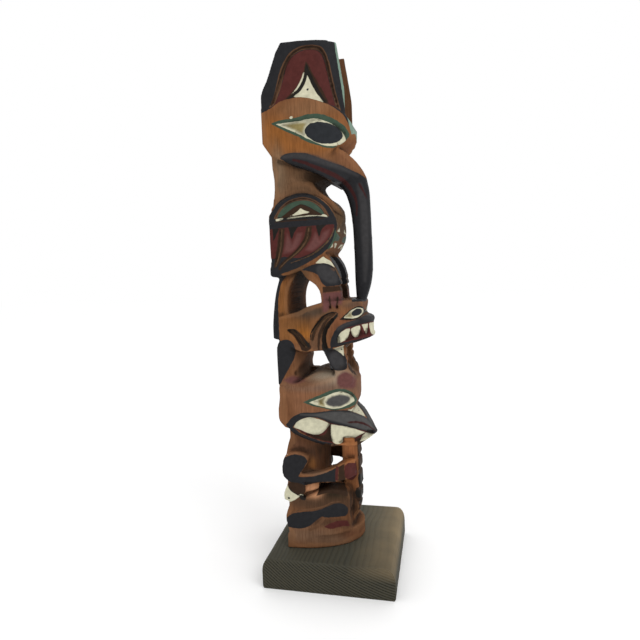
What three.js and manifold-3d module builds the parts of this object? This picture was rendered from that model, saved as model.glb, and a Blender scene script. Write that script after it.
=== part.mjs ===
// A carved and painted wooden model totem pole on a square wooden block.
// Three figures stand one above the other, all facing +X: a long-beaked bird with tall ears, a toothed
// wolf on all fours, and a squatting big-mouthed figure that holds a notched staff. Below them the pole
// ends in a D-shaped foot disc. The pole is one carved solid, and the block is the second piece.
// Millimetres, +Z up, origin at the middle of the block's underside. +X is the front.
import * as THREE from "three";
import { LoftGeometry } from "three/addons/geometries/LoftGeometry.js";
import { mergeVertices } from "three/addons/utils/BufferGeometryUtils.js";
import Module from "manifold-3d";

const wasm = await Module();
wasm.setup();

// ---- driving dimensions (mm) ----
const BLOCK = { side: 140, height: 33.4, shoulderIn: 9, shoulderDown: 15, edge: 3 };
const FIT_GAP = 0.3; // the pole stands on the block
const LOG = { back: -44, half: 46 }; // the D-shaped log: where its round front starts, and its half-width
const DISC = { back: -48, centre: [-42, 1], front: 30, half: 47, top: 49.5 };
const TOP_OF_POLE = { near: 560.7, far: 564.4, nearY: -40, farY: 34 }; // the top is sawn slightly askew
const EAR_GAP = 22; // half the saw gap between the ears
const PLAN_STEPS = 12; // facets round the front of a D-shaped plan
const OUT = 75; // past the side of the log, for cutters

// ---- solids and outlines ----
// A closed outline: a start point, then runs. A run of one point is a straight edge, and a longer run
// is one smooth curve, so corners stay only where two runs meet.
function outline(start, ...runs) {
  const shape = new THREE.Shape().moveTo(...start);
  for (const run of runs) {
    if (run.length === 1) shape.lineTo(...run[0]);
    else shape.splineThru(run.map(([a, b]) => new THREE.Vector2(a, b)));
  }
  return shape;
}

function solid(geometry) {
  const bare = new THREE.BufferGeometry().copy(geometry);
  bare.deleteAttribute("normal");
  bare.deleteAttribute("uv");
  const merged = mergeVertices(bare, 1e-4);
  return new wasm.Manifold(new wasm.Mesh({
    numProp: 3,
    vertProperties: merged.getAttribute("position").array,
    triVerts: new Uint32Array(merged.index.array),
  }));
}

const joined = (...solids) => solids.reduce((all, next) => all.add(next));

// A side outline (x, z) as a slab from y0 to y1, its two faces rounded off by round.
function slab(shape, y0, y1, round = 0, curveSegments = 2) {
  const options = { depth: y1 - y0, curveSegments, bevelEnabled: false };
  if (round > 0) {
    Object.assign(options, {
      depth: y1 - y0 - 2 * round, bevelEnabled: true, bevelSegments: 2,
      bevelThickness: round, bevelSize: round, bevelOffset: -round,
    });
  }
  const geometry = new THREE.ExtrudeGeometry(shape, options);
  return solid(geometry.rotateX(Math.PI / 2).translate(0, y1 - round, 0));
}

const curve = (...points) => new THREE.SplineCurve(points.map(([x, z]) => new THREE.Vector2(x, z)));

// A rounded bar between two side-view curves, with halfWidth(t) to each side of the middle.
function loft(inner, outer, halfWidth, steps, around = 12, fullness = 2.8) {
  const sections = Array.from({ length: steps + 1 }, (_, i) => {
    const t = i / steps;
    const a = inner.getPoint(t);
    const b = outer.getPoint(t);
    return Array.from({ length: around }, (_, j) => {
      const turn = -2 * Math.PI * (j + 0.5) / around;
      const swell = (value) => Math.sign(value) * Math.abs(value) ** (2 / fullness);
      const at = 0.5 + 0.5 * swell(Math.cos(turn));
      const middle = a.clone().lerp(b, at);
      return new THREE.Vector3(middle.x, halfWidth(t) * swell(Math.sin(turn)), middle.y);
    });
  });
  return solid(new LoftGeometry(sections, { capStart: true, capEnd: true }));
}

const across = (shape) => slab(shape, -OUT, OUT);

// A plan outline (x, y) as an upright prism from z0 to z1.
function prism(shape, z0, z1) {
  const geometry = new THREE.ExtrudeGeometry(shape, { depth: z1 - z0, curveSegments: 2,
    bevelEnabled: false });
  return solid(geometry.translate(0, 0, z0));
}

// The D-shaped plan of the log: flat back, straight sides and a rounded front.
// fullness 2 is an ellipse, and more is squarer. A point near 1 draws the front out to a beak.
// inset makes the plan smaller all round.
function dee({ front, fullness = 2.3, point = 1 / fullness, half = LOG.half, back = -60 }, inset = 0) {
  const shape = new THREE.Shape().moveTo(back + inset, -(half - inset));
  const reach = front - inset - LOG.back;
  for (let i = 0; i <= PLAN_STEPS; i++) {
    const turn = Math.PI * (i / PLAN_STEPS - 0.5);
    const x = LOG.back + reach * Math.cos(turn) ** (2 / fullness);
    const y = Math.sign(turn) * (half - inset) * Math.abs(Math.sin(turn)) ** (2 * point);
    shape.lineTo(x, y);
  }
  shape.lineTo(back + inset, half - inset);
  return shape;
}

const column = (plan, z0, z1, inset = 0) => prism(dee(plan, inset), z0, z1);

// A block with a side outline and a D-shaped plan.
function carved(shape, plan) {
  const side = across(shape);
  const { min, max } = side.boundingBox();
  return side.intersect(column(plan, min[2] - 1, max[2] + 1));
}

// Cuts a side outline into a figure on both sides, to a floor that follows its plan at the given depth.
function sink(body, shape, plan, depth) {
  const cutter = across(shape);
  const { min, max } = cutter.boundingBox();
  return body.subtract(cutter.subtract(column(plan, min[2] - 1, max[2] + 1, depth)));
}

// A groove of the given width along a line of side-view points.
function groove(body, points, width, plan, depth) {
  const line = new THREE.SplineCurve(points.map(([x, z]) => new THREE.Vector2(x, z)));
  const steps = points.length + 2;
  const edge = (side) => Array.from({ length: steps + 1 }, (_, i) => {
    const at = line.getPoint(i / steps);
    const along = line.getTangent(i / steps);
    const taper = 0.35 + 0.65 * Math.sin(Math.PI * i / steps);
    return new THREE.Vector2(at.x - along.y * side * width * taper / 2,
    at.y + along.x * side * width * taper / 2);
  });
  return sink(body, new THREE.Shape([...edge(1), ...edge(-1).reverse()]), plan, depth);
}

// An ellipse in the side view, turned by tilt.
function oval(x, z, halfLong, halfShort, tilt) {
  const curve = new THREE.EllipseCurve(x, z, halfLong, halfShort, 0, 2 * Math.PI, false, tilt);
  return new THREE.Shape(curve.getPoints(14).slice(0, 14));
}

// ---- the bird ----
const BIRD_HEAD = { front: 34, fullness: 2.6 };
const BIRD_BODY = { front: 19, fullness: 2.3, half: 41 };
const BIRD_WING = { front: 21, fullness: 2.9 };
const BIRD_NECK = { front: 4, fullness: 2.4, half: 39 };
const BIRD_LEG = { front: 25, fullness: 2.6, half: 45 };

function birdEars() {
  const ear = outline([-57, 480], [[-57, 510]], [[-55, 516.5], [-50, 525.5], [-45, 538], [-39.5, 552]],
    [[-34.5, 560], [-28, 575]], [[18, 575]], [[19.5, 558], [31.5, 479]]);
  const slant = (TOP_OF_POLE.far - TOP_OF_POLE.near) / (TOP_OF_POLE.farY - TOP_OF_POLE.nearY);
  const middle = TOP_OF_POLE.near - slant * TOP_OF_POLE.nearY;
  const sawn = solid(new THREE.BoxGeometry(200, 200, 60).translate(0, 0, 30).rotateX(Math.atan(slant))
    .translate(0, 0, middle));
  const gap = outline([-70, 600], [[-70, 497]], [[-40, 496], [0, 494], [24, 487], [45, 470]], [[60, 600]]);
  const bevel = (side) => solid(new THREE.BoxGeometry(8, 20, 120).rotateZ(side * Math.PI / 4)
    .translate(4.2, side * 4.2, 0).rotateY(-0.112).rotateX(side * 0.115).translate(21.3, side * 29, 524));
  return carved(ear, { ...BIRD_HEAD, front: 32.5, half: 44.5 })
    .subtract(sawn).subtract(slab(gap, -EAR_GAP, EAR_GAP)).subtract(bevel(1)).subtract(bevel(-1));
}

function birdHead() {
  const skull = outline([-57, 498], [[-57, 463.5]], [[-48.5, 450.6]], [[-38, 446]], [[-20, 448]],
    [[6, 444]], [[15.5, 456]], [[21, 460.5], [28, 467], [32.4, 474], [32, 482]], [[27, 489], [19, 494.5],
    [9, 500], [-9, 506], [-23, 506.5], [-38, 503.5], [-57, 498]]);
  const lips = outline([-40, 447.5], [[-29, 451.8], [-19, 451.9], [-9.5, 449.6], [8.5, 446]], [[8, 458]],
    [[22, 456]], [[29, 450.4], [36, 443]], [[24, 425]], [[12.1, 423.1], [-0.2, 430.2], [-14.2, 436.3],
    [-28.5, 441.9], [-40, 447.5]]);
  const lipPlan = outline([-57, -45.5], [[-20, -45.5], [0, -42], [10, -35.5], [18, -27], [26, -17.5],
    [38, -10]], [[38, 10]], [[26, 17.5], [18, 27], [10, 35.5], [0, 42], [-20, 45.5]], [[-57, 45.5]]);
  return carved(skull, BIRD_HEAD).add(across(lips).intersect(prism(lipPlan, 400, 460)));
}

// The long beak curves forward and down, and its tip rests on the wolf's skull.
function birdBeak() {
  const inner = curve([6, 434], [13, 423.5], [19.6, 415], [23.6, 403], [26, 388], [27.2, 365], [27.5, 340],
    [27.6, 322], [28.3, 308], [30, 296]);
  const outer = curve([26, 453.5], [35.8, 443.5], [43, 431], [46, 414], [47, 392], [47.4, 365], [47.8, 340],
    [46.4, 322], [42.6, 308], [38, 296]);
  const root = (t) => 14 * Math.max(1 - t / 0.3, 0) ** 1.3;
  const tip = (t) => 2.5 * Math.max((t - 0.75) / 0.25, 0) ** 2;
  const halfWidth = (t) => 9.6 + root(t) - tip(t);
  return loft(inner, outer, halfWidth, 16);
}

function birdBody() {
  const neck = outline([-50, 452], [[-49.4, 436], [-49.2, 420], [-50.5, 396]], [[-4, 390]], [[-5, 412],
    [-9, 420.5], [-6.5, 425.5], [2, 428.5]], [[8, 440]], [[-30, 452]]);
  const torso = outline([-52, 398], [[-52, 331]], [[-30, 333]], [[-5, 348]], [[-0.5, 355], [7.4, 365],
    [14.8, 378], [18, 388.6], [16.6, 395.5], [12, 402], [7, 407.4], [0.5, 411.5], [-5, 417], [-8.5, 424]],
    [[-30, 426]]);
  const wing = outline([-54, 385], [[-53, 391.3], [-48.1, 397.2], [-40.2, 404.2], [-30.3, 409.1],
    [-18.7, 410.7], [-7.3, 409.6], [1.9, 405.1], [8.9, 397.6], [13.1, 389], [14.7, 381]], [[14.5, 371],
    [11, 361], [4.6, 353], [-4.5, 345]], [[-18.7, 335.6], [-26.4, 332.4], [-36.2, 329.2], [-46, 327]],
    [[-53, 328]], [[-54.4, 331], [-54, 338], [-52.8, 345], [-53.6, 360], [-53.6, 379]]);
  const bare = joined(carved(neck, BIRD_NECK), carved(torso, BIRD_BODY));
  return bare.add(carved(wing, BIRD_WING));
}

function birdLegs() {
  const leg = outline([-22.5, 335], [[-10, 352]], [[0, 352]], [[6, 346], [11.5, 338], [15, 328]],
    [[15.6, 324.6]], [[12.6, 323.6]], [[15.8, 322]], [[16.2, 318.4]], [[13, 317]], [[15.6, 314.4]],
    [[16.4, 300]], [[16.4, 290]], [[-2, 290]], [[-2.5, 300], [-3, 308], [-5.6, 315], [-9.5, 320],
    [-13.5, 322.5]], [[-18, 327]]);
  return carved(leg, BIRD_LEG).subtract(slab(outline([-20, 280], [[-20, 336]], [[-6, 348], [20, 352]],
    [[30, 352]], [[30, 280]]), -14, 14));
}

function birdTail() {
  const tail = outline([-44, 338], [[-46.4, 327], [-51.4, 310], [-54.6, 290], [-56, 275]], [[-56, 262.6]],
    [[-48.4, 260.6]], [[-30, 262]], [[-38, 285]], [[-39, 300], [-37, 314], [-31, 326], [-20, 340]]);
  return slab(tail, -41, 41, 1.5);
}

// ---- the wolf ----
const WOLF = { front: 48, fullness: 2.15 };
const WOLF_FORELEG = { front: 30, fullness: 2.2 };
const WOLF_HINDLEG = { front: -25, fullness: 2.2 };
const WOLF_TOES = { front: 32.4, fullness: 2.5 };

function wolfBody() {
  const body = outline([-49, 262], [[-49, 285]], [[-40, 288], [-27, 291], [-17, 296], [-2, 299.4],
    [12, 301]], [[36, 301.4]], [[38.4, 298.5]], [[37, 284.6]], [[43, 282.8], [49, 281]], [[49, 263]],
    [[45, 260.2], [29, 256], [9, 250.8], [-3, 249.6], [-12, 249.4], [-24, 249], [-36, 254]]);
  return carved(body, WOLF);
}

function wolfMouth(body) {
  const mouth = outline([46, 278], [[52, 278]], [[52, 265]], [[44, 264.5], [30, 260.5], [12.5, 256.5]],
    [[12, 262], [14.5, 268], [20, 272.8], [34, 276.6]]);
  const tooth = (top, tip, width) => outline([top[0] - width / 2, top[1]],
    [[top[0] - width * 0.45, (top[1] + tip[1]) / 2], [tip[0], tip[1]],
    [top[0] + width * 0.5, (top[1] + tip[1]) / 2], [top[0] + width / 2, top[1]]]);
  const teeth = [tooth([19, 276], [16.5, 257.5], 10.5), tooth([30, 279], [29.5, 262], 8.5),
    tooth([37.4, 280], [38, 265], 5.2), tooth([44, 280], [44.4, 264], 5)];
  let sunk = sink(body, mouth, WOLF, 3.5);
  for (const each of teeth) sunk = sunk.add(across(each).intersect(column(WOLF, 255, 281, 0.8)));
  return sunk;
}

function wolfLegs() {
  const fore = outline([-4, 253], [[3.5, 234]], [[8, 227]], [[9, 212]], [[25, 212]], [[25.4, 221],
    [23, 227], [20, 232.4]], [[17, 234]], [[20, 236]], [[19.8, 240]], [[16.8, 241.4]], [[19.2, 243.4]],
    [[18.2, 258]]);
  const hind = outline([-50.6, 214], [[-51.2, 235], [-51.2, 250], [-50, 257]], [[-47, 262]], [[-30, 262]],
    [[-21, 252]], [[-23.4, 246], [-27.8, 238], [-32.4, 229]], [[-33, 224]], [[-29.5, 212]]);
  const instep = across(oval(0, 0, 1.5, 3, -0.15)).translate([0, 40, 0]).rotate([-11.3, 0, 16])
    .translate([-32.8, -40, 225.5]);
  const legs = joined(carved(fore, WOLF_FORELEG), carved(hind, WOLF_HINDLEG).subtract(instep));
  const chest = outline([-20, 200], [[-20, 249]], [[40, 249]], [[40, 200]]);
  const heels = outline([-70, 200], [[-70, 227]], [[-45, 230]], [[-38, 226]], [[-37, 200]]);
  const apart = legs.subtract(slab(chest, -14, 14)).subtract(slab(heels, -27, 27));
  const farPaw = outline([-34, 212], [[-32, 220.5]], [[-24, 220.5]], [[-21, 217.5]], [[-21, 212]]);
  const toes = outline([9, 231], [[10, 212]], [[25, 211.4]], [[26, 219], [23, 226]], [[14, 232]]);
  const paws = carved(toes, WOLF_TOES).intersect(dome(5)).subtract(slab(chest, -16, 16));
  return joined(apart, paws, slab(farPaw, 22, 35));
}

// ---- the squatting figure ----
const HOLDER_HEAD = { front: 30.6, fullness: 2.5 };
const HOLDER_BEAK = { front: 49, fullness: 3, point: 0.85 };
const HOLDER_BODY = { front: -7, fullness: 2, half: 41 };
const HOLDER_LIMB = { front: 26, fullness: 2.5 };

// The rounded top of the head across the pole, raised by lift.
function dome(lift = 0) {
  const shape = new THREE.Shape().moveTo(-OUT, 130).lineTo(-OUT, 206).lineTo(-46, 206 + lift);
  shape.bezierCurveTo(-45, 222 + lift, -26, 228 + lift, 0, 228 + lift);
  shape.bezierCurveTo(26, 228 + lift, 45, 222 + lift, 46, 206 + lift).lineTo(OUT, 206).lineTo(OUT, 130);
  const geometry = new THREE.ExtrudeGeometry(shape, { depth: 120, curveSegments: 5, bevelEnabled: false });
  return solid(geometry.rotateX(Math.PI / 2).rotateZ(Math.PI / 2).translate(-60, 0, 0));
}

function holderHead() {
  const head = outline([-50.8, 214], [[-50.4, 197], [-52.2, 188], [-52.4, 178]], [[-49, 171.6]],
    [[-44, 167]], [[18, 160]], [[20.6, 176.5]], [[27.2, 188.5], [30.2, 201.5], [28.8, 213]], [[19, 222],
    [8, 225.8], [-2, 226.4], [-14.9, 223.6], [-30.4, 215.6]], [[-40, 214]]);
  const muzzle = outline([-46, 169.5], [[-33, 178], [-18, 182.5], [0, 183], [21, 180]], [[32, 172],
    [40, 162], [47.6, 152.6]], [[43, 150.6]], [[29, 144]], [[12, 147], [-9, 151.6], [-28.4, 158.4],
    [-46, 169.5]]);
  return carved(head, HOLDER_HEAD).intersect(dome()).add(carved(muzzle, HOLDER_BEAK));
}

function holderTeeth(body) {
  const mouth = outline([-38, 167.5], [[-29, 175.5], [-18, 179.4], [-5, 176.6], [2, 171.6], [20, 167],
    [44, 156]], [[44, 152]], [[28, 148], [12, 149.5], [-9, 154.5], [-28, 161], [-38, 167.5]]);
  const back = outline([-36.5, 167], [[-28.4, 175.7], [-18.7, 179.4], [-4.4, 175.8], [0, 171.5]],
    [[-6, 164], [-16, 160.5], [-26, 162.5], [-36.5, 167]]);
  const front = outline([3, 171.4], [[37, 159]], [[36.5, 155.6]], [[28, 155.6], [15, 156.4]], [[10, 151.2],
    [5.4, 152.6], [2.6, 161], [3, 171.4]]);
  const sunk = sink(body, mouth, HOLDER_BEAK, 3.5);
  const tooth = (shape) => across(shape).intersect(column(HOLDER_BEAK, 145, 185, 0.7));
  return joined(sunk, tooth(back), tooth(front));
}

function holderBody() {
  const trunk = outline([-42.6, 168], [[-42.2, 156], [-44.6, 148], [-47, 138]], [[-46, 60]], [[-46, 48]],
    [[-7, 48]], [[-7, 160]], [[-20, 172]]);
  const arm = outline([-49, 133], [[-45, 138.6], [-37, 141], [-28, 139.6], [-22.5, 135.5]], [[-23.5, 129],
    [-27, 123], [-32, 116.8]], [[-19, 117], [-5, 119.8], [5, 123]], [[10, 125.4]], [[26, 125.4]],
    [[26, 106]], [[5, 106.6], [-19, 107.6], [-37, 108.6]], [[-46, 109.6]], [[-50, 114], [-51, 123],
    [-49, 133]]);
  const joint = outline([-45, 110], [[-46.4, 103.6], [-49, 97.6], [-50.6, 91], [-48.8, 87]], [[-43, 85]],
    [[-29, 92.6]], [[-27, 96.6], [-27, 106], [-35, 110]]);
  const knee = outline([-27, 95], [[-13, 99.4]], [[-12, 105.6], [-13.5, 109]], [[-27, 110]]);
  const leg = outline([-43.4, 86.6], [[-45, 80.6], [-47.4, 74.8], [-49, 67], [-47.6, 59]], [[-45, 48]],
    [[19, 48]], [[19, 64]], [[17.4, 68.4]], [[19.6, 75], [19.6, 83], [15.6, 93]], [[4, 98.6], [-7, 98],
    [-19, 93.4], [-31, 89.6]]);
  const reach = column(HOLDER_LIMB, 100, 150, 10).intersect(across(outline([-30, 100], [[-30, 150]],
    [[30, 150]], [[30, 100]])));
  const arms = carved(arm, HOLDER_LIMB).subtract(reach);
  const farSide = solid(new THREE.BoxGeometry(200, 100, 200).translate(0, 50, 100));
  const farArm = arms.intersect(farSide).translate([0, 0, 3.5]);
  const limbs = joined(arms.subtract(farSide), farArm, carved(joint, { ...HOLDER_LIMB, half: 45 }),
    carved(knee, { ...HOLDER_LIMB, half: 42 }), carved(leg, HOLDER_LIMB));
  const lap = outline([4, 50], [[4, 105]], [[30, 105]], [[30, 50]]);
  return carved(trunk, HOLDER_BODY).add(limbs.subtract(slab(lap, -11, 11)));
}

function holderStaff() {
  const teeth = [[26, 142.6], [28, 127], [25, 124.6], [28.2, 121.5], [28.4, 112], [25.2, 109],
    [28.4, 105.6], [28.8, 92.4], [25.2, 89.6], [28.6, 86], [28.2, 76], [24.8, 73.4], [27.6, 70],
    [25.6, 61.5]];
  const staff = outline([8.6, 152], [[8.6, 119]], [[10.6, 86]], [[12, 48]], [[19, 48]],
    [[21, 55]], ...teeth.reverse().map((point) => [point]), [[24.4, 152]]);
  return slab(staff, -12, 12, 1.5);
}

function footDisc() {
  const [x, y] = DISC.centre;
  const plan = new THREE.Shape().moveTo(DISC.back, y - DISC.half).lineTo(x, y - DISC.half);
  plan.absellipse(x, y, DISC.front - x, DISC.half, -Math.PI / 2, Math.PI / 2, false, 0);
  plan.lineTo(DISC.back, y + DISC.half);
  const bottom = BLOCK.height + FIT_GAP;
  const options = { depth: DISC.top - bottom, curveSegments: 14, bevelEnabled: false };
  return solid(new THREE.ExtrudeGeometry(plan, options).translate(0, 0, bottom));
}

// ---- relief lines, cut last ----
function reliefLines(body) {
  const ears = { ...BIRD_HEAD, front: 32.5, half: 44.5 };
  const earBand = outline([-48, 499], [[-40, 518], [-33.3, 537.7], [-26.4, 547.7], [-16.8, 553.9],
    [-7.2, 555.6], [3.2, 554.7], [8.7, 549.5], [11.5, 541], [15.1, 521.6], [19.7, 502.4]], [[21.5, 494]],
    [[18.6, 496.5]], [[16.1, 506.6], [11.5, 525.9], [7.8, 543.4], [3.2, 549.7], [-4.4, 551.8],
    [-13.9, 551.1], [-22.6, 545.8], [-28.4, 535.8], [-36.2, 517.9], [-43.5, 501.5]]);
  let cut = sink(body, earBand, ears, 2.2);
  const birdEye = outline([-40, 481], [[-22, 483.6], [-9, 485], [4, 484], [17, 480.5], [25.5, 474.5],
    [27, 467], [24.5, 460.5]], [[13, 459.2], [0, 461], [-12, 466.8], [-26, 474.5], [-40, 481]]);
  cut = sink(cut, birdEye, BIRD_HEAD, 2.2);
  cut = cut.add(across(oval(5.6, 470.4, 17.6, 11.2, -0.15)).intersect(column(BIRD_HEAD, 455, 485, 0.4)));
  cut = groove(cut, [[-46, 386], [-20, 387.5], [6, 386.5]], 4, BIRD_WING, 1.8);
  cut = groove(cut, [[-47, 389], [-38, 399], [-20, 406.5], [-4, 403.5], [6, 391]], 3, BIRD_WING, 1.6);
  cut = groove(cut, [[-41, 379], [-42, 365], [-45, 352], [-51, 338]], 3.5, BIRD_WING, 2);
  cut = groove(cut, [[-11, 379], [-14, 367], [-24, 355], [-35, 346], [-48, 337]], 3.5, BIRD_WING, 2);
  cut = groove(cut, [[12, 372], [4, 359], [-8, 350.5], [-22, 345], [-40, 337]], 3, BIRD_WING, 1.8);
  cut = groove(cut, [[15, 288.6], [5, 286.5], [-4, 281], [-10.5, 270], [-14, 256]], 4.5, WOLF, 3);
  cut = groove(cut, [[12, 284.5], [4, 278], [-0.5, 269], [-1, 259], [3, 249]], 4.5, WOLF, 3);
  cut = groove(cut, [[-39, 271.5], [-32, 269], [-26, 261], [-19, 253]], 5, WOLF, 3);
  cut = groove(cut, [[13, 281.6], [22, 280.4], [31, 281]], 2.4, WOLF, 1.8);
  const wolfEye = outline([18.5, 282.8], [[24, 287], [29, 291.4], [34, 292.6], [38.5, 289.5]], [[36, 285.5],
    [30, 282.8], [18.5, 282.8]]);
  cut = sink(cut, wolfEye, WOLF, 1.6);
  cut = cut.add(across(oval(32.4, 288.2, 4.6, 3.2, 0.3)).intersect(column(WOLF, 280, 296, 0.4)));
  const holderEye = outline([-16, 195.5], [[-4, 199.6], [8, 203.8], [18, 204.4], [25, 200.5],
    [26.4, 196.5]], [[20, 192.5], [9, 189.4], [-3, 190.8], [-16, 195.5]]);
  cut = sink(cut, holderEye, HOLDER_HEAD, 2);
  cut = cut.add(across(oval(9.5, 196.6, 11.6, 6, 0.1)).intersect(column(HOLDER_HEAD, 185, 210, 0.4)));
  return cut;
}

function toeSplits(body) {
  let cut = body;
  for (const [x, z0, z1] of [[5.6, 292, 306], [12.8, 292, 307]]) {
    const split = outline([x - 1.6, z0], [[x, z1]], [[x + 1.6, z0]]);
    cut = sink(cut, split, BIRD_LEG, 3.5);
  }
  for (const x of [15.6, 21.4]) {
    cut = sink(cut, outline([x - 1.4, 211], [[x, 223]], [[x + 1.4, 211]]), WOLF, 4);
  }
  for (const x of [-1, 6, 12.5]) {
    cut = sink(cut, outline([x - 1, 56], [[x - 0.4, 64]], [[x + 1, 56]]), HOLDER_LIMB, 2.5);
  }
  return cut;
}

function carvedPole() {
  const bird = joined(birdEars(), birdHead(), birdBeak(), birdBody(), birdLegs(), birdTail());
  const wolf = wolfMouth(joined(wolfBody(), wolfLegs()));
  const holder = joined(holderTeeth(holderHead()), holderBody(), holderStaff(), footDisc());
  const whole = toeSplits(reliefLines(joined(bird, wolf, holder)));
  const floor = BLOCK.height + FIT_GAP;
  return whole.subtract(solid(new THREE.BoxGeometry(300, 300, 40).translate(0, 0, floor - 20)));
}

// ---- the block: a short length of board, its two long upper edges rounded over ----
function baseBlock() {
  const { side, height, shoulderIn, shoulderDown, edge } = BLOCK;
  const half = side / 2;
  const shape = new THREE.Shape().moveTo(-half + edge, 0).lineTo(half - edge, 0);
  shape.quadraticCurveTo(half, 0, half, edge).lineTo(half, height - shoulderDown);
  shape.bezierCurveTo(half, height - shoulderDown / 3, half - shoulderIn / 3, height, half - shoulderIn,
    height);
  shape.lineTo(-half + shoulderIn, height);
  shape.bezierCurveTo(-half + shoulderIn / 3, height, -half, height - shoulderDown / 3, -half,
    height - shoulderDown);
  shape.lineTo(-half, edge).quadraticCurveTo(-half, 0, -half + edge, 0);
  const geometry = new THREE.ExtrudeGeometry(shape, {
    depth: side - 2, curveSegments: 5, bevelEnabled: true, bevelSegments: 2, bevelThickness: 1, bevelSize: 1,
    bevelOffset: -1,
  });
  return geometry.rotateX(Math.PI / 2).translate(0, half - 1, 0);
}

function meshOf(manifold, name, material) {
  const { vertProperties, triVerts } = manifold.getMesh();
  const geometry = new THREE.BufferGeometry();
  geometry.setAttribute("position", new THREE.BufferAttribute(vertProperties, 3));
  geometry.setIndex(new THREE.BufferAttribute(triVerts, 1));
  geometry.computeVertexNormals();
  const mesh = new THREE.Mesh(geometry, material);
  mesh.name = name;
  return mesh;
}

const cedar = new THREE.MeshStandardMaterial({ color: "#7c5433", roughness: 0.55, metalness: 0 });
const fir = new THREE.MeshStandardMaterial({ color: "#4d4a3b", roughness: 0.7, metalness: 0 });

const totem = new THREE.Group();
totem.add(meshOf(carvedPole(), "carved_pole", cedar));
const block = new THREE.Mesh(baseBlock(), fir);
block.name = "base_block";
totem.add(block);

export default totem;
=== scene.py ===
# %% [markdown]
# # A carved and painted model totem pole
# The real thing is one length of western red cedar, carved right through in places and painted by
# hand, standing on an offcut of stained softwood board. This lesson takes the plain solids of
# those two pieces and gives them their finish: a softened, cut and painted skin for the pole, and
# a board with real grain for the block. Everything is in metres, +Z up, and +X is the way the
# figures face.

# %% Load the solids and keep their size
import bpy
import math
import numpy as np
from mathutils import Matrix


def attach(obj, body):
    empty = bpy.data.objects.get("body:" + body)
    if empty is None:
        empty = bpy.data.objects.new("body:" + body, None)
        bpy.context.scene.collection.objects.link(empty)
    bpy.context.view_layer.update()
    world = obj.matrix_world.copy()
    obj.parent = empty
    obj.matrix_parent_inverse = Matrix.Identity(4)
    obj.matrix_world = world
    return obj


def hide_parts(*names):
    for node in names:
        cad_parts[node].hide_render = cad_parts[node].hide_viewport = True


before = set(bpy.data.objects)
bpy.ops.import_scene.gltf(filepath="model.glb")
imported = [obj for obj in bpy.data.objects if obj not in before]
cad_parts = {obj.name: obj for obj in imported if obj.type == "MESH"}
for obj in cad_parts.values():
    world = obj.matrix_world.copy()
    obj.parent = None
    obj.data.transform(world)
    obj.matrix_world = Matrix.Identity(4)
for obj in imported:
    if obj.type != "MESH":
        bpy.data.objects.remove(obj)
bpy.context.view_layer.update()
MM = 0.001
print("nodes:", sorted(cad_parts))

# %% [markdown]
# ## Two small helpers for materials
# Paint colours are written as the hex values a paint chart would give, and Blender works in linear
# light, so one function converts them. The other adds a shader node, sets its options and links
# its inputs. A colour Mix node keeps its number and vector sockets hidden beside the colour ones,
# so its inputs are named by number: 0 is the amount, 6 the colour underneath, 7 the colour laid
# over it, and its result is output 2.

# %% Colour and node helpers
def linear(hex_colour):
    """An sRGB hex colour as linear red, green, blue and alpha."""
    parts = [int(hex_colour[i:i + 2], 16) / 255 for i in (1, 3, 5)]
    return [c / 12.92 if c <= 0.04045 else ((c + 0.055) / 1.055) ** 2.4 for c in parts] + [1.0]


def add(tree, kind, inputs=None, **options):
    """A new node of a kind, with its options set and each input given a value or a link."""
    node = tree.nodes.new(kind)
    for name, value in options.items():
        setattr(node, name, value)
    for key, value in (inputs or {}).items():
        if isinstance(value, bpy.types.NodeSocket):
            tree.links.new(value, node.inputs[key])
        else:
            node.inputs[key].default_value = value
    return node


def new_material(name, viewport):
    """An empty node material, and its tree."""
    material = bpy.data.materials.new(name)
    material.use_nodes = True
    material.node_tree.nodes.clear()
    material.diffuse_color = linear(viewport)
    return material, material.node_tree


print("white in linear light:", linear("#ffffff"))

# %% [markdown]
# ## The skin of the pole
# The solid is faceted, as a piece roughed out with a saw is. A carver would go over it with a
# crooked knife until the round parts are round. Subdividing the facets would only make more of
# them, so the Remesh modifier gives the solid an even skin of small quads instead, and the Smooth
# modifier then works only where the skin is not at a cut edge, so that flats turn round and the
# edges of the cuts stay sharp.

# %% Even skin
SKIN = 1.15 * MM  # size of one quad of the skin
JOIN = 0.005 * MM  # loose corners closer than this are one


def apply_modifiers(obj):
    """Turns an object's modifiers into plain mesh."""
    old = obj.data
    graph = bpy.context.evaluated_depsgraph_get()
    graph.update()
    mesh = bpy.data.meshes.new_from_object(obj.evaluated_get(graph))
    mesh.name = old.name
    obj.modifiers.clear()
    obj.data = mesh
    bpy.data.meshes.remove(old)


def merged_copy(node, name):
    """A copy of a solid's mesh with its loose triangles joined into one closed skin."""
    obj = bpy.data.objects.new(name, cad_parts[node].data.copy())
    bpy.context.scene.collection.objects.link(obj)
    obj.data.materials.clear()
    weld = obj.modifiers.new("join triangles", "WELD")
    weld.merge_threshold = JOIN
    return obj


pole = merged_copy("carved_pole", "carved_cedar_pole")
skin = pole.modifiers.new("even skin", "REMESH")
skin.mode = "VOXEL"
skin.voxel_size = SKIN
skin.adaptivity = 0
apply_modifiers(pole)
print("pole skin:", len(pole.data.polygons), "quads")

# %% Read a skin
def positions(mesh):
    """The mesh's points as an N by 3 array."""
    flat = np.empty(len(mesh.vertices) * 3, np.float32)
    mesh.vertices.foreach_get("co", flat)
    return flat.reshape(-1, 3).astype(np.float64)


def normals(mesh):
    """The mesh's point normals as an N by 3 array."""
    flat = np.empty(len(mesh.vertices) * 3, np.float32)
    mesh.vertex_normals.foreach_get("vector", flat)
    return flat.reshape(-1, 3).astype(np.float64)


def edge_ends(mesh):
    """The two points of each edge."""
    flat = np.empty(len(mesh.edges) * 2, np.int32)
    mesh.edges.foreach_get("vertices", flat)
    return flat.reshape(-1, 2)


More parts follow.
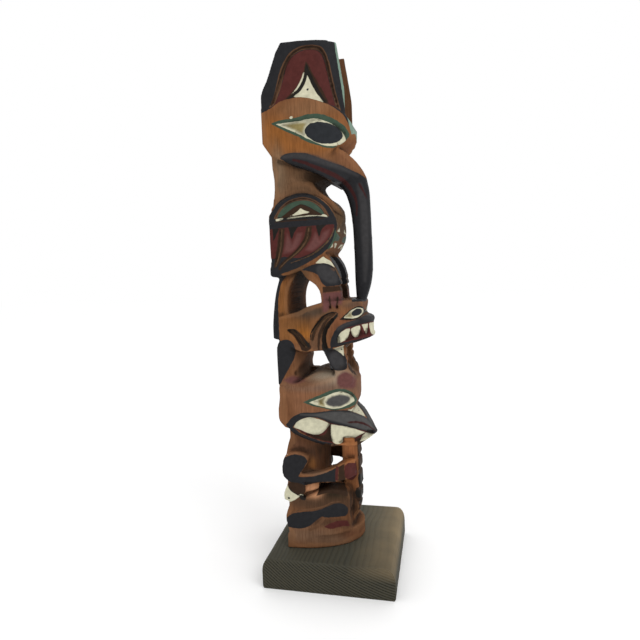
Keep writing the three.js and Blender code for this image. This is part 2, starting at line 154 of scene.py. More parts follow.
def neighbour_mean(values, ends):
    """Each point's average over its neighbours."""
    count = len(values)
    total = np.zeros_like(values)
    both = np.concatenate([ends[:, 0], ends[:, 1]])
    other = np.concatenate([ends[:, 1], ends[:, 0]])
    for column in range(values.shape[1]):
        total[:, column] = np.bincount(both, values[other, column], count)
    return total / np.maximum(np.bincount(both, minlength=count), 1)[:, None]


print("pole skin:", len(edge_ends(pole.data)), "edges")

# %% Soften everything but the cut edges
EDGE_TURN = math.cos(math.radians(13))  # neighbours turned more than this are at a cut edge
ROUNDING = 50  # passes over the round parts
WEIGHT_STEPS = 4  # a vertex group's weights come in steps of a quarter


def ramp(values, start, slope):
    """0 up to a start, and from there rising by a slope to 1."""
    return np.clip((values - start) * slope, 0, 1)


def weight_group(obj, name, weights):
    """A vertex group with a weight for each point."""
    group = obj.vertex_groups.new(name=name)
    steps = np.round(weights * WEIGHT_STEPS).astype(int)
    for step in range(1, WEIGHT_STEPS + 1):
        group.add(np.flatnonzero(steps == step).tolist(), step / WEIGHT_STEPS, "REPLACE")


def smooth(obj, name, passes, weights=None):
    """Moves each point half way to its neighbours' middle, pass after pass, by its weight."""
    modifier = obj.modifiers.new(name, "SMOOTH")
    modifier.factor = 0.5
    modifier.iterations = passes
    if weights is not None:
        weight_group(obj, name, weights)
        modifier.vertex_group = name
    apply_modifiers(obj)
    obj.vertex_groups.clear()


def soften(obj, passes):
    """Smooths the round parts of a skin and leaves its cut edges."""
    ends = edge_ends(obj.data)
    turned = normals(obj.data)
    turn = np.einsum("ij,ij->i", turned[ends[:, 0]], turned[ends[:, 1]])
    sharp = np.zeros(len(turned))
    sharp[ends[turn < EDGE_TURN].ravel()] = 1
    spread = np.maximum(sharp, neighbour_mean(sharp[:, None], ends)[:, 0])
    smooth(obj, "round parts", passes, 1 - spread)
    print("cut edges:", int(sharp.sum()), "of", len(sharp), "points")


soften(pole, ROUNDING)

# %% Soften two places altogether
SOFT_PLACES = [  # middle, half size (mm), passes
    ((-30, 0, 423), (28, 60, 15), 70),  # the bird's neck
    ((9.4, 0, 294), (9.5, 60, 6), 80),  # the tips of the bird's toes
]
LAST_PASSES = 2  # over the whole skin, to take off the steps that Remesh leaves


def soften_all(obj, place, half, passes):
    """Smooths everything within a box, fading out towards its sides."""
    inside = 1 - np.abs(positions(obj.data) / MM - np.array(place)) / np.array(half)
    smooth(obj, "soft place", passes, ramp(inside.min(1), 0, 4))


for place, half, passes in SOFT_PLACES:
    soften_all(pole, place, half, passes)
smooth(pole, "take off the steps", LAST_PASSES)
print("softened places:", len(SOFT_PLACES))

# %% [markdown]
# ## Stencils
# A painter works on each side of the pole from one place, and the shapes are drawn as seen from
# there: across and up, in millimetres, where the line of sight passes a plane 40 mm out from the
# pole's middle. A painted image would need the carving to be unwrapped, and its edges would blur,
# so each shape is an outline and the skin is measured against it. A shape is closed, and is drawn
# as a start point and then runs. A run of one point is a straight edge and a longer run is one
# smooth curve, so that corners stay only where two runs meet.

# %% Outlines
CURVE_STEPS = 5  # points that a curve gets for each one given


def curve_through(points):
    """Points along one smooth curve through the given ones (Catmull-Rom)."""
    p = np.array([points[0], *points, points[-1]], float)
    out = []
    for a, b, c, d in zip(p, p[1:], p[2:], p[3:]):
        for t in np.arange(1, CURVE_STEPS + 1) / CURVE_STEPS:
            out.append(0.5 * (2 * b + (c - a) * t + (2 * a - 5 * b + 4 * c - d) * t ** 2
                              + (3 * b - a - 3 * c + d) * t ** 3))
    return out


def shape(start, *runs):
    """A closed outline from a start point and runs of points."""
    out = [np.array(start, float)]
    for run in runs:
        out += curve_through([out[-1], *run]) if len(run) > 1 else [np.array(run[0], float)]
    return np.array(out)


def oval(across, up, half_long, half_short, tilt=0.0, sides=28):
    """An ellipse, its long axis turned up by tilt degrees."""
    turn = np.linspace(0, 2 * math.pi, sides, endpoint=False)
    c, s = math.cos(math.radians(tilt)), math.sin(math.radians(tilt))
    long, short = half_long * np.cos(turn), half_short * np.sin(turn)
    return np.stack([across + long * c - short * s, up + long * s + short * c], 1)


def stroke(width, *points):
    """A brush or knife stroke along a curve, a quarter as wide at its ends as in its middle."""
    line = np.array(curve_through([points[0], *points]))
    along = np.gradient(line, axis=0)
    along /= np.linalg.norm(along, axis=1)[:, None]
    side = np.stack([-along[:, 1], along[:, 0]], 1)
    swell = 0.25 + 0.75 * np.sin(np.linspace(0, math.pi, len(line)))[:, None]
    return np.concatenate([line + side * swell * width / 2,
                           (line - side * swell * width / 2)[::-1]])


print("an oval has", len(oval(0, 0, 2, 1)), "points")

# %% Distance to an outline
FAR = 6.0  # distances are kept only this near a shape, in mm


def distance_to(outline, at):
    """How far each point is outside a closed outline, negative inside, no more than FAR."""
    result = np.full(len(at), FAR)
    low, high = outline.min(0) - FAR, outline.max(0) + FAR
    near = np.flatnonzero(((at > low) & (at < high)).all(1))
    x, y = at[near].T
    best = np.full(len(near), FAR ** 2)
    inside = np.zeros(len(near), bool)
    for (ax, ay), (bx, by) in zip(outline, np.roll(outline, -1, axis=0)):
        ex, ey = bx - ax, by - ay
        t = np.clip(((x - ax) * ex + (y - ay) * ey) / max(ex * ex + ey * ey, 1e-9), 0, 1)
        best = np.minimum(best, (x - ax - t * ex) ** 2 + (y - ay - t * ey) ** 2)
        if ay != by:
            inside ^= ((ay > y) != (by > y)) & (x < ax + (y - ay) * ex / ey)
    result[near] = np.where(inside, -np.sqrt(best), np.sqrt(best))
    return result


print("mm from a small oval's rim to its middle:", distance_to(oval(0, 0, 2, 1), np.zeros((1, 2))))

# %% Where each point of the skin is on the painter's plane
EYE = np.array([117.8, 566.4, 331.4])  # where the painter looks from, mirrored for the other side
PLANE = 40.0  # how far the stencils lie from the pole's middle, in mm


def sight(points):
    """Each point's place on the stencil plane."""
    mm = points / MM
    far = np.abs(mm[:, 1])
    scale = (EYE[1] - PLANE) / (EYE[1] - far)
    return np.stack([EYE[0] + (mm[:, 0] - EYE[0]) * scale,
                     EYE[2] + (mm[:, 2] - EYE[2]) * scale], 1)


def facing(points, turned):
    """The cosine between a point's normal and the line to the painter on its side."""
    mm = points / MM
    side = np.where(mm[:, 1] > 0, 1.0, -1.0)
    to_eye = np.stack([EYE[0] - mm[:, 0], side * EYE[1] - mm[:, 1], EYE[2] - mm[:, 2]], 1)
    to_eye /= np.linalg.norm(to_eye, axis=1)[:, None]
    return np.einsum("ij,ij->i", turned, to_eye)


print("painter stands at", EYE.tolist(), "mm, and mirrored")

# %% [markdown]
# ## The painted shapes
# The style is the common form-line style of North-west coast model poles: black form lines, dark
# red and green fills, and cream eyes, teeth and split triangles, with the stained cedar left bare
# between them. Paint goes on in this order, so that each coat lies over the ones before.

# %% The coats of paint
PAINTS = {  # coat: colour, roughness, half the width over which its rim fades (mm)
    "black": ("#242426", 0.5, 0.3),
    "red": ("#4b2522", 0.55, 0.3),
    "rose": ("#5f3c39", 0.6, 2.2),
    "tan": ("#5f4330", 0.6, 0.6),
    "umber": ("#33241a", 0.6, 0.6),
    "bare": ("#8e5b37", 0.6, 0.3),
    "green": ("#3a4a3d", 0.55, 0.3),
    "teal": ("#74897b", 0.55, 0.3),
    "line": ("#1f1d1a", 0.55, 0.3),
    "seam": ("#5a4431", 0.6, 0.3),
    "cream": ("#bfbba2", 0.5, 0.3),
    "ochre": ("#85784e", 0.55, 2.0),
    "pupil": ("#27292c", 0.5, 0.3),
    # slate_and_sheen is a paler black: painted sheen along the beak, partly painted sheen elsewhere
    "slate_and_sheen": ("#363536", 0.6, 2.0),
    # faded_and_sheen is a paler black: faded paint, and painted sheen on the upper lip
    "faded_and_sheen": ("#474645", 0.6, 1.4),
    "wine": ("#371c1b", 0.55, 0.7),
}
painted = {coat: [] for coat in PAINTS}

# These are cosines between a surface's normal and the line to the painter.
SEEN = 0.08  # a surface that faces the painter more than this takes paint
WRAPPED = -0.2  # and this is how far the black borders run round an edge
SIDE_ONLY = 0.4  # paint that keeps off the front
INSIDE = -0.5  # a surface that faces away more than this is the inner side of a leg or an ear
ANYWHERE = 2.0  # no surface faces more than this, nor less than its negative


def paint(coat, *outlines, beyond=0.0, least=SEEN, most=ANYWHERE):
    """Puts shapes on a coat, for surfaces more than beyond mm out from the pole's middle."""
    painted[coat] += [(outline, beyond, least, most) for outline in outlines]


def tell(piece):
    """Says how many shapes are drawn, up to and with a piece."""
    print(piece + ":", sum(len(shapes) for shapes in painted.values()), "shapes so far")


tell("before the first shape")

# %% [markdown]
# ### The bird at the top
# It has tall upright ears, a long beak that turns down and folded wings. Black goes round its head
# and beak, its eye is green and cream, and its wings end in long feathers of dull red.

# %% The bird's ears
# The line where the ears spring from the head.
ARCH = [(-50, 498.5), (-40, 504.5), (-30, 507), (-20, 508), (-10, 506.6), (0, 503.2), (10, 498.8),
        (19, 493)]
paint("black",
      shape((-64, 494), ARCH, [(27, 485.5), (33, 474)], [(42, 466)], [(42, 580)], [(-64, 580)]),
      least=WRAPPED)
paint("tan",
      shape((-50, 499.5),
            [(-45, 508.5), (-40, 524), (-35.5, 537), (-30, 546), (-24, 552), (-15, 555.6),
             (-5, 556), (3, 554.6), (8.5, 551), (12.5, 543.5), (15.5, 532), (20, 508), (24.6, 490)],
            [(20, 493.5)],
            [(16.4, 510), (13, 526), (10.6, 538), (8, 545.5), (3.5, 550), (-3, 552), (-10, 552.4),
             (-18, 550.6), (-25, 546), (-30, 538.5), (-34, 526.5), (-38.5, 513.5), (-44.5, 502.5)]))
paint("umber",
      stroke(2.2, (-47, 502), (-41, 517), (-35, 532), (-29, 543.5), (-22, 550.6), (-12, 554.2),
             (-3, 554.2), (5, 551.8), (10, 545), (13.5, 531), (18, 509), (22, 493)),
      stroke(2.4, (4, 552.4), (10, 545), (13.5, 531), (18, 509), (21, 497.5), (22.4, 491.6)))
paint("red",
      shape((-43.8, 503.4),
            [(-38, 514), (-33.6, 526.5), (-29.6, 538.5), (-24.6, 545.6), (-18, 550), (-10, 551.8),
             (-3, 551.4), (3.2, 549.4), (7.4, 545), (10, 537.5), (12.4, 526), (15.8, 510),
             (19.6, 494)], [(10, 498.8)], ARCH[-3::-1]))
paint("umber",
      shape((-33, 507), [(-26.5, 511.5), (-20.5, 517), (-16, 523), (-12.5, 530), (-9.4, 541.5)],
            [(-6, 536), (-2.4, 527.5), (2, 519.5), (7, 510.5), (13, 498)], [(10, 498.8)],
            ARCH[-3:1:-1]))
paint("line",
      shape((-30.5, 507.6),
            [(-24.5, 511), (-18.6, 516.2), (-14.4, 522.4), (-11.4, 530), (-8.8, 540)],
            [(-6.8, 533.5), (-3.6, 526), (0.4, 517.5), (5.4, 508.5), (10.5, 499)], ARCH[-3:1:-1]))
paint("cream",
      shape((-24, 508.6), [(-18, 511.6), (-13, 516.8), (-10.2, 521.8), (-8.2, 527.4)],
            [(-5.6, 521.4), (-2.2, 514), (2, 507.4), (7.4, 500.4)], ARCH[-4:3:-1]),
      stroke(1.8, (-11.6, 530.4), (-15, 522.4), (-20, 515.4), (-25.6, 511)))
paint("pupil", oval(-8.5, 513.8, 1.3, 1.2))
paint("teal",
      shape((20, 562), [(20, 557)], [(22.4, 538), (25, 519), (27.2, 502), (29.6, 487), (32, 478)],
            [(34.6, 466)], [(44, 466)], [(38, 500)], [(25.5, 562)]))
tell("ears")

# %% The bird's eye
paint("green",
      shape((-48.5, 484.2),
            [(-40, 486.6), (-30, 487.2), (-20, 488), (-12, 489.4), (-3, 489.8), (5, 488.4),
             (13, 485), (20, 481), (27, 475.5), (31, 470), (32.8, 465), (31.6, 459)],
            [(29.4, 455.2)],
            [(20, 454.4), (12, 454.8), (5, 456.4), (0, 458.6), (-8, 461.4), (-15, 465),
             (-20, 468.6), (-30, 473.6), (-40, 479), (-48.5, 484.2)]), least=SIDE_ONLY)
paint("cream",
      shape((-43, 483.2),
            [(-30, 483.6), (-20, 483.8), (-12, 484.8), (-4, 485), (3, 483.6), (9, 481.2), (15, 478),
             (21, 473.6), (26, 468), (28.4, 463)], [(29.6, 456)],
            [(22, 456.6), (14, 456.4), (6, 458), (0, 460.6), (-6, 463.6), (-12, 466.8),
             (-18, 470.6), (-28, 475.6), (-36, 479.6), (-43, 483.2)]),
      oval(-26.8, 488.2, 1.9, 1.3, 10), least=SIDE_ONLY)
paint("ochre",
      shape((-34, 481.4), [(-24, 482), (-15, 481.8), (-11.5, 480.4)],
            [(-14.5, 474), (-15.5, 471.6)], [(-24, 475.8), (-34, 481.4)]))
paint("pupil", oval(6.3, 469.9, 19.8, 10.3, -15))
tell("eye")

# %% The bird's beak
paint("black",
      shape((-41, 449),
            [(-36, 452.2), (-30, 453.5), (-22, 453), (-12, 451.4), (-4, 448), (5, 444), (15, 440),
             (25, 436), (33, 431.6), (40, 427.8), (46, 424), (50.5, 419.5)], [(56, 415)],
            [(56, 300)], [(29.5, 300)], [(29.5, 399)],
            [(25, 413), (18, 419.6), (12, 422.6), (6, 426), (0, 429), (-5, 431.2), (-14, 435),
             (-22, 437.6), (-30, 441.6), (-41, 449)]),
      shape((12, 424), [(18, 414), (24, 404), (29.5, 392)], [(29.5, 300)], [(56, 300)], [(56, 400)],
            [(40, 420)]), least=WRAPPED)
paint("wine",
      stroke(4.4, (-27, 446.4), (-16.3, 443.1), (-4.9, 438), (6.4, 432.7), (15.4, 428), (24.3, 422),
             (30.3, 415.5), (35.1, 407), (37.6, 398), (37.2, 386)),
      stroke(2.2, (40.5, 418), (44.2, 411), (48.4, 402)))
# Painted sheen: soft paler strokes along the black beak.
paint("slate_and_sheen",
      stroke(6, (-38, 449.6), (-24, 450.4), (-8, 447), (8, 440.6), (24, 433.8), (40, 425.4)),
      stroke(8, (41, 416), (44.6, 396), (45.2, 370), (45, 345), (43.6, 320)))
tell("beak")

# %% The bird's wing
WINGS = 22  # the wings lie further out from the middle than this, in mm

paint("black",
      shape((-57.5, 385),
            [(-53, 394), (-47, 402), (-40, 407.4), (-30, 411.4), (-20, 412.6), (-10, 411),
             (0, 405.8), (8, 398.4), (13.4, 391), (16.4, 383.5)],
            [(17, 376), (15, 367.6), (10.5, 359), (4, 352.6), (-4, 347.2), (-14, 342), (-24, 337.4),
             (-34, 333.8), (-45, 330.4), (-57.5, 326)]), beyond=WINGS)
paint("tan",
      shape((-50, 388),
            [(-44.5, 396.6), (-38, 402.6), (-30, 406.6), (-20, 408.2), (-11, 407), (-2, 402.4),
             (4.6, 396), (9, 387.4)], [(5.6, 388)],
            [(2, 394.6), (-4.4, 400.6), (-11.6, 404.2), (-20, 405.2), (-30, 403.8), (-37, 400),
             (-42.6, 394.8), (-46.4, 387.6)]), beyond=WINGS)
paint("umber",
      stroke(1.5, (-48, 389), (-43, 396.6), (-36, 402.4), (-28, 405.8), (-20, 406.8), (-11, 405.6),
             (-3, 401.2), (3, 395.6), (7, 388)),
      shape((-42, 389.4), [(-33, 395.4), (-26, 399.2), (-20.4, 401.4)],
            [(-14.6, 399.2), (-8, 395.6), (1, 390.4)], [(1, 389)], [(-42, 388.6)]), beyond=WINGS)
paint("green",
      shape((-46, 389.6),
            [(-43, 394.6), (-38, 399.4), (-30, 403.6), (-20, 405), (-12, 404), (-4.6, 400.4),
             (1.6, 394.4), (4.6, 388.8)],
            [(0, 391.2), (-5, 394.2), (-10, 397.4), (-15.6, 400.2), (-20.4, 401.6)],
            [(-26, 399.4), (-32, 396), (-38, 392), (-42, 389.4)]), beyond=WINGS)
paint("cream",
      shape((-32.4, 389.9), [(-26, 393), (-20.6, 397.2)], [(-16, 394.6), (-10.6, 392.6)],
            [(-18, 391.4), (-25, 390.5), (-32.4, 389.9)]),
      stroke(1.3, (-36, 387.6), (-22, 388.6), (-8, 388.9), (4, 388.2)),
      stroke(2.4, (-47.5, 386.6), (-44, 387), (-39.6, 387.8)),
      stroke(2, (2, 389), (5, 388.2), (8, 386.8)), beyond=WINGS)
paint("pupil", oval(-20, 393.8, 0.9, 0.9), beyond=WINGS)
paint("umber", stroke(1.3, (-48, 384.8), (-30, 385.4), (-10, 385.4), (9, 386)), beyond=WINGS)
tell("wing")

# %% The wing's feathers
paint("red",
      shape((-62, 377.4), [(-30, 378.6)], [(14.4, 379.2)],
            [(13, 373.8), (8.8, 366.2), (0.4, 358.1), (-11.2, 350.8), (-22.9, 346.6)],
            [(-32, 347), (-40, 348.6)], [(-50, 347), (-62, 348)]), beyond=WINGS)
paint("rose",
      shape((-6, 372), [(-10.4, 363), (-17, 354.6)],
            [(-10, 353.4), (0, 360.4), (6.6, 367.4), (9, 374)], [(2, 371), (-1.6, 364)],
            [(-4, 369)]),
      shape((-36, 372), [(-38.4, 361), (-40.4, 352)], [(-31, 354), (-23.6, 361.4), (-20, 372)],
            [(-25, 372)], [(-31, 361)]), beyond=WINGS)
paint("umber",
      shape((-44.2, 378), [(-46.1, 367.4), (-47.8, 357.9), (-49.9, 348.4), (-52.2, 337)],
            [(-47.4, 340.3), (-43.7, 347.4), (-40.7, 357.6), (-39.4, 367.1), (-38.4, 378)]),
      shape((-15, 378.6),
            [(-18.8, 366.1), (-24.9, 357.7), (-32.7, 350.1), (-41.3, 344.1), (-47.5, 337.1)],
            [(-46, 334)],
            [(-37.2, 343.1), (-28.6, 348.3), (-21.8, 353.6), (-15.8, 359.6), (-11, 367.2),
             (-9.2, 378.6)]), beyond=WINGS)
paint("seam",
      stroke(1.9, (-41.4, 377), (-42.8, 366), (-44.4, 356), (-47, 346), (-50.4, 337.6)),
      stroke(2, (-12.4, 377), (-14.8, 367), (-20.2, 358.6), (-28, 351.2), (-37, 344.8),
             (-45, 337.6)),
      stroke(1.5, (13.8, 375), (9.6, 365.6), (1, 357), (-10.6, 349.6), (-22.9, 345), (-34, 341.6)),
      beyond=WINGS)
paint("line",
      shape((-34.6, 378.6), [(-23.4, 379)], [(-27.6, 374), (-31.6, 364.6)],
            [(-33, 371.6), (-34.6, 378.6)]),
      shape((-5.4, 379), [(7, 379.4)], [(1, 374.6), (-2.2, 365.6)], [(-3.6, 372.4), (-5.4, 379)]),
      shape((-52, 378), [(-44.4, 378)], [(-47, 373.4), (-52, 363.6)], [(-51.4, 371), (-52, 378)]),
      beyond=WINGS)
tell("feathers")

# %% The bird's breast and legs
paint("umber",
      stroke(1.8, (13.4, 393), (18, 389.6), (23.4, 386)),
      stroke(1.6, (21.6, 366), (19, 357), (13, 350)))
paint("green",
      shape((15, 374), [(17, 370), (19.4, 366), (18, 362)], [(13.6, 362)], [(11, 357), (6, 353)],
            [(8, 357), (12.4, 364), (15, 374)]))
paint("cream",
      shape((16.6, 371.4), [(19.6, 375)], [(20, 371.2)]),
      shape((9, 355), [(12.4, 360)], [(12, 356.4)]),
      shape((13.4, 355), [(14, 360.6)], [(16.4, 359.4)], [(14.8, 355.4)]))
paint("black",
      shape((-22.6, 333.8),
            [(-17.9, 336), (-12.9, 338.2), (-7.1, 339.8), (-1.4, 340.6), (4.3, 340.2), (8.2, 338.6),
             (11.4, 336.2)], [(13.7, 334.4), (16, 329.6), (18.2, 324.6), (20.4, 319.4)],
            [(17.2, 317.2), (12.3, 316.6), (7.5, 316.4), (3.4, 316.5), (0.3, 318.5), (-2.1, 322),
             (-4.3, 327.4), (-7.5, 330), (-11.5, 331.8), (-16.4, 333.2), (-22.6, 333.8)]))
paint("black", shape((2, 317), [(2, 347)], [(28, 347)], [(28, 317)]), least=-ANYWHERE, most=INSIDE)
paint("black",
      shape((20.6, 317), [(18.4, 324), (15.4, 332), (11, 340)], [(8, 347)], [(28, 347)],
            [(28, 317)]), beyond=10, least=-ANYWHERE)
paint("tan", oval(10, 333.4, 3.6, 1.5, -20))
# This lighter stroke along the leg's front edge is a painted highlight.
paint("seam", stroke(1.5, (11.5, 339), (14.5, 333.4), (16.8, 328.5), (19.2, 323.7), (21.4, 318)))
paint("cream",
      shape((-7.8, 340.2),
            [(-4.5, 342.8), (-1.2, 345.4), (1.7, 346.8), (4.8, 344.6), (9.2, 342.1), (11.9, 338.8),
             (13.6, 335)], [(10.2, 337.5), (6.7, 339.2), (1.9, 340.2), (-3, 340.4), (-7.8, 340.2)]))
tell("breast and legs")

# %% The bird's feet and tail
paint("umber",
      shape((-0.4, 316.2), [(21.9, 316.6)], [(22.2, 311.9)], [(-0.3, 310)]),
      stroke(1.9, (6.6, 306), (6.8, 299), (7.6, 293.6)),
      stroke(1.9, (15.2, 305), (14.3, 298.8), (13, 293.6)))
paint("umber",
      shape((2, 316.4), [(27, 316.4)], [(27, 296)], [(2, 296)]), least=-ANYWHERE, most=INSIDE)
paint("umber",
      shape((20.8, 316.4), [(27, 316.4)], [(27, 305)], [(20.8, 305)]), beyond=10, least=-ANYWHERE)
# A paler black on the bird's leg, partly painted sheen.
paint("slate_and_sheen", oval(5, 329, 13, 7.4, -38))
paint("rose",
      shape((-0.6, 310), [(21.9, 311.9)], [(20.8, 303.2), (19, 297.6)],
            [(14.9, 297), (13.1, 293.6)], [(10.8, 294.7), (8.4, 296.3), (5, 292.4), (2.5, 290)],
            [(-0.9, 290)], [(-1.3, 300.5), (-0.6, 310)]))
paint("black",
      shape((-64, 331), [(-38, 329)],
            [(-43.6, 322.6), (-47.4, 312), (-49, 300), (-49.3, 285), (-49.3, 262)], [(-48, 259)],
            [(-64, 259)]), least=WRAPPED)
tell("feet and tail")

# %% [markdown]
# ### The wolf in the middle
# It stands on the figure below with its teeth bared. Each tooth is a cream shape of its own, and
# the dark red laid before it shows between them.

# %% The wolf's mouth and eye
paint("black",
      shape((57, 286.6), [(44, 286.8)],
            [(36, 282.4), (25, 279.2), (17, 275.8), (11, 270), (7, 262), (5.4, 256), (6, 252.2)],
            [(14, 253.8), (22, 255.8), (30, 257.4), (40, 259.4)], [(57, 264)]))
paint("red",
      shape((14, 257.6),
            [(14.4, 263), (17, 268.4), (22, 272.4), (28, 274.4), (38, 276.8), (47, 278.8),
             (57, 281)], [(57, 266.4)], [(40, 262.4), (28, 259.8), (20, 258.2), (14, 257.6)]))
paint("cream",
      shape((13.9, 257.8), [(14.4, 263.6), (17.6, 268.6), (22.4, 271.6), (27, 272.4)],
            [(26.4, 268), (24, 262.8), (19.4, 259.2), (13.9, 257.8)]),
      shape((28, 272.2), [(32.4, 274.4), (37.8, 275.8)],
            [(37.4, 270), (35.2, 265), (33, 263.6), (30, 264.4), (28.2, 268), (28, 272.2)]),
      shape((39.4, 276.2), [(45.6, 277.6)], [(45, 271), (43.4, 265.8)],
            [(41.6, 271), (39.4, 276.2)]),
      shape((47, 277.8), [(57, 280)], [(57, 265.4)],
            [(52.4, 265.6), (49.4, 267), (47.8, 271), (47, 277.8)]))
paint("line",
      shape((18, 283), [(24, 288.2), (30, 292.8), (36, 295.2), (41.4, 294.4)], [(43.4, 290)],
            [(40, 285.6), (35, 282), (28, 281.4), (14.6, 281.6)]))
paint("cream",
      shape((20.4, 283.4), [(25, 287.2), (30, 291.6), (36, 293.8), (40.8, 293)], [(42, 289.6)],
            [(38.4, 285.8), (33.4, 283.2), (27, 283), (20.4, 283.4)]))
paint("ochre", shape((23, 284.4), [(28.6, 289)], [(28.6, 284.4)]))
paint("pupil", oval(34.6, 289, 5.9, 3.5, 22))
tell("mouth and eye")

# %% The wolf's body and legs
paint("tan",
      shape((15.4, 289),
            [(10.3, 288.8), (5.3, 287.5), (-0.1, 284.7), (-5.6, 278.8), (-10.4, 273.2),
             (-13.3, 269.1), (-15, 263.9), (-16, 256)], [(-13, 250.4)], [(-2, 249)],
            [(0, 257.4), (1.4, 266), (5, 274), (10, 280.2), (15.6, 285.4)]))
paint("umber",
      stroke(3.4, (-7, 250), (-6.6, 258.5), (-5.4, 266.1), (-2.6, 272.8), (1, 279), (5, 283),
             (10.2, 286.4)),
      shape((-40.4, 271.4), [(-33, 272.6), (-27, 269), (-21, 262), (-16, 256), (-14.2, 252)],
            [(-20, 249), (-25, 249.6)], [(-29, 258), (-33.4, 265), (-40.4, 271.4)]))
paint("seam",
      stroke(2.2, (8.7, 286.6), (2.5, 284.2), (-2.2, 279.8), (-7.4, 275), (-11, 269.9),
             (-12.6, 262), (-12.8, 253)),
      stroke(2.4, (-36, 271), (-30, 266.4), (-24.6, 259), (-20, 253)))
paint("line",
      shape((15, 289),
            [(10.5, 285), (6.4, 281), (2.6, 276.6), (-0.6, 271), (-2.4, 264.5), (-3, 257.8),
             (-3.4, 250)], [(3.4, 250)],
            [(1.9, 257.7), (1.6, 264.5), (3.2, 270.5), (6, 274.9), (10, 280), (13.9, 284.6)]),
      stroke(1.8, (15, 288.6), (10.3, 289.4), (5, 288.4), (-0.6, 285.2), (-6.2, 279.2),
             (-11, 273.2), (-14.4, 268), (-16, 261), (-17, 255)),
      shape((-23.4, 262.4), [(-20, 260), (-16.6, 256)], [(-16, 253.4)], [(-18, 252.6)],
            [(-20.8, 257)]),
      stroke(1.8, (-39.6, 271.6), (-33.6, 271.4), (-26, 265)))
paint("black",
      shape((-60, 258),
            [(-50, 259.6), (-43, 261.4), (-36.6, 259.6), (-33, 254), (-32, 247), (-35, 239),
             (-41, 229), (-46, 221), (-50, 214)], [(-60, 210)], [(-60, 258)]), least=WRAPPED)
paint("rose",
      shape((-47, 217.4), [(-40, 221.6), (-33, 222.2), (-26, 220.4), (-22.6, 218)],
            [(-30, 215), (-39, 214), (-47, 217.4)]))
paint("black",
      shape((-4.6, 252), [(2, 252.4), (8.6, 251.4), (20, 246)], [(22.6, 240), (22.8, 232)],
            [(20, 229.6), (12, 228.6), (5.4, 229.6)], [(3.4, 234)]))
paint("cream",
      shape((8.4, 251.2), [(14, 252.8)], [(19.8, 254.8)], [(19.5, 244.2)],
            [(16, 247), (12.6, 249.8), (8.4, 251.2)]))
paint("pupil", oval(17.5, 251, 0.9, 0.8))
paint("umber",
      shape((20, 256), [(24, 250), (23.6, 240), (24, 231), (28, 226)], [(36, 222)], [(36, 258)]))
paint("rose",
      shape((11.4, 221), [(15, 225.4), (21, 227.4), (27, 224.6), (32, 219)],
            [(30, 211), (22, 209.6), (14, 210.6)], [(11.4, 215), (11.4, 221)]))

# Paler black on the wolf's paw, nose and upper lip, partly painted sheen.
paint("slate_and_sheen",
      oval(12, 239, 7, 10, 28), oval(47, 283.6, 8, 2.4),
      stroke(3.6, (14, 272), (24, 277), (36, 280.6)))
tell("body and legs")

# %% [markdown]
# ### The squatting figure at the bottom
# It carries the wolf on its head, with a broad toothed mouth and its knees drawn up. Many of its
# shapes lie over the trunk when seen from the side, so they are kept off it by a least distance
# from the pole's middle.

# %% The squatting figure's eye
paint("green",
      shape((-27, 194),
            [(-18, 197.8), (-8, 202), (2, 206.4), (12, 209), (21, 208.6), (28, 204.6),
             (32.4, 199.4)],
            [(31, 193.6), (24, 189.6), (14, 187), (5, 186.4), (-5, 188.4), (-15, 190.2),
             (-27, 194)]))
paint("cream",
      shape((-20, 194), [(-10, 197.6), (0, 201.6), (8, 205), (16, 206.2), (23, 204.2), (28.4, 200)],
            [(29.4, 197), (26, 194.6), (20, 191), (12, 188.4), (4, 187.9), (-4, 189.6),
             (-12, 191.4), (-20, 194)]))
paint("ochre", shape((-9, 197), [(-2.4, 200)], [(-4, 195), (-2.4, 190)], [(-9, 191.6)]))
paint("pupil", oval(34, 187, 0.9, 0.8))
paint("faded_and_sheen", oval(11.6, 196.6, 13.2, 6.1, 12))
tell("eye")

# %% The squatting figure's mouth
paint("black",
      shape((-46.4, 168.6),
            [(-40, 176.2), (-33, 180.8), (-25, 182.8), (-15, 183), (-5, 184.4), (5, 186),
             (14, 186.2)], [(20, 186.4)], [(30, 184.4), (38, 181), (46, 177.6)], [(33, 193.6)],
            [(36, 193)], [(60, 166)], [(56, 162)],
            [(48, 162), (40, 164.4), (30, 166.4), (20, 168.4), (10, 170.2), (3, 171.4)],
            [(-5, 175.4), (-14, 177.6), (-24, 177), (-33, 172.6), (-39, 166.4)],
            [(-30, 160.4), (-20, 156.4), (-8, 152.6), (3, 151)], [(12, 148)], [(28, 150)],
            [(28, 142)],
            [(6, 146), (-8, 149), (-20, 152.4), (-30, 156), (-39, 160.6), (-46.4, 168.6)]),
      beyond=15)
paint("black",
      shape((12, 186), [(21.9, 186.5), (30.9, 184), (38.3, 181.2)], [(42.4, 178)],
            [(38.4, 185.7), (34.1, 190.2), (31, 192.6)], [(36, 196)], [(64, 166)], [(56, 160)],
            [(48.2, 162.6), (37.8, 164.2), (25.9, 167.6), (10, 170.6)]))
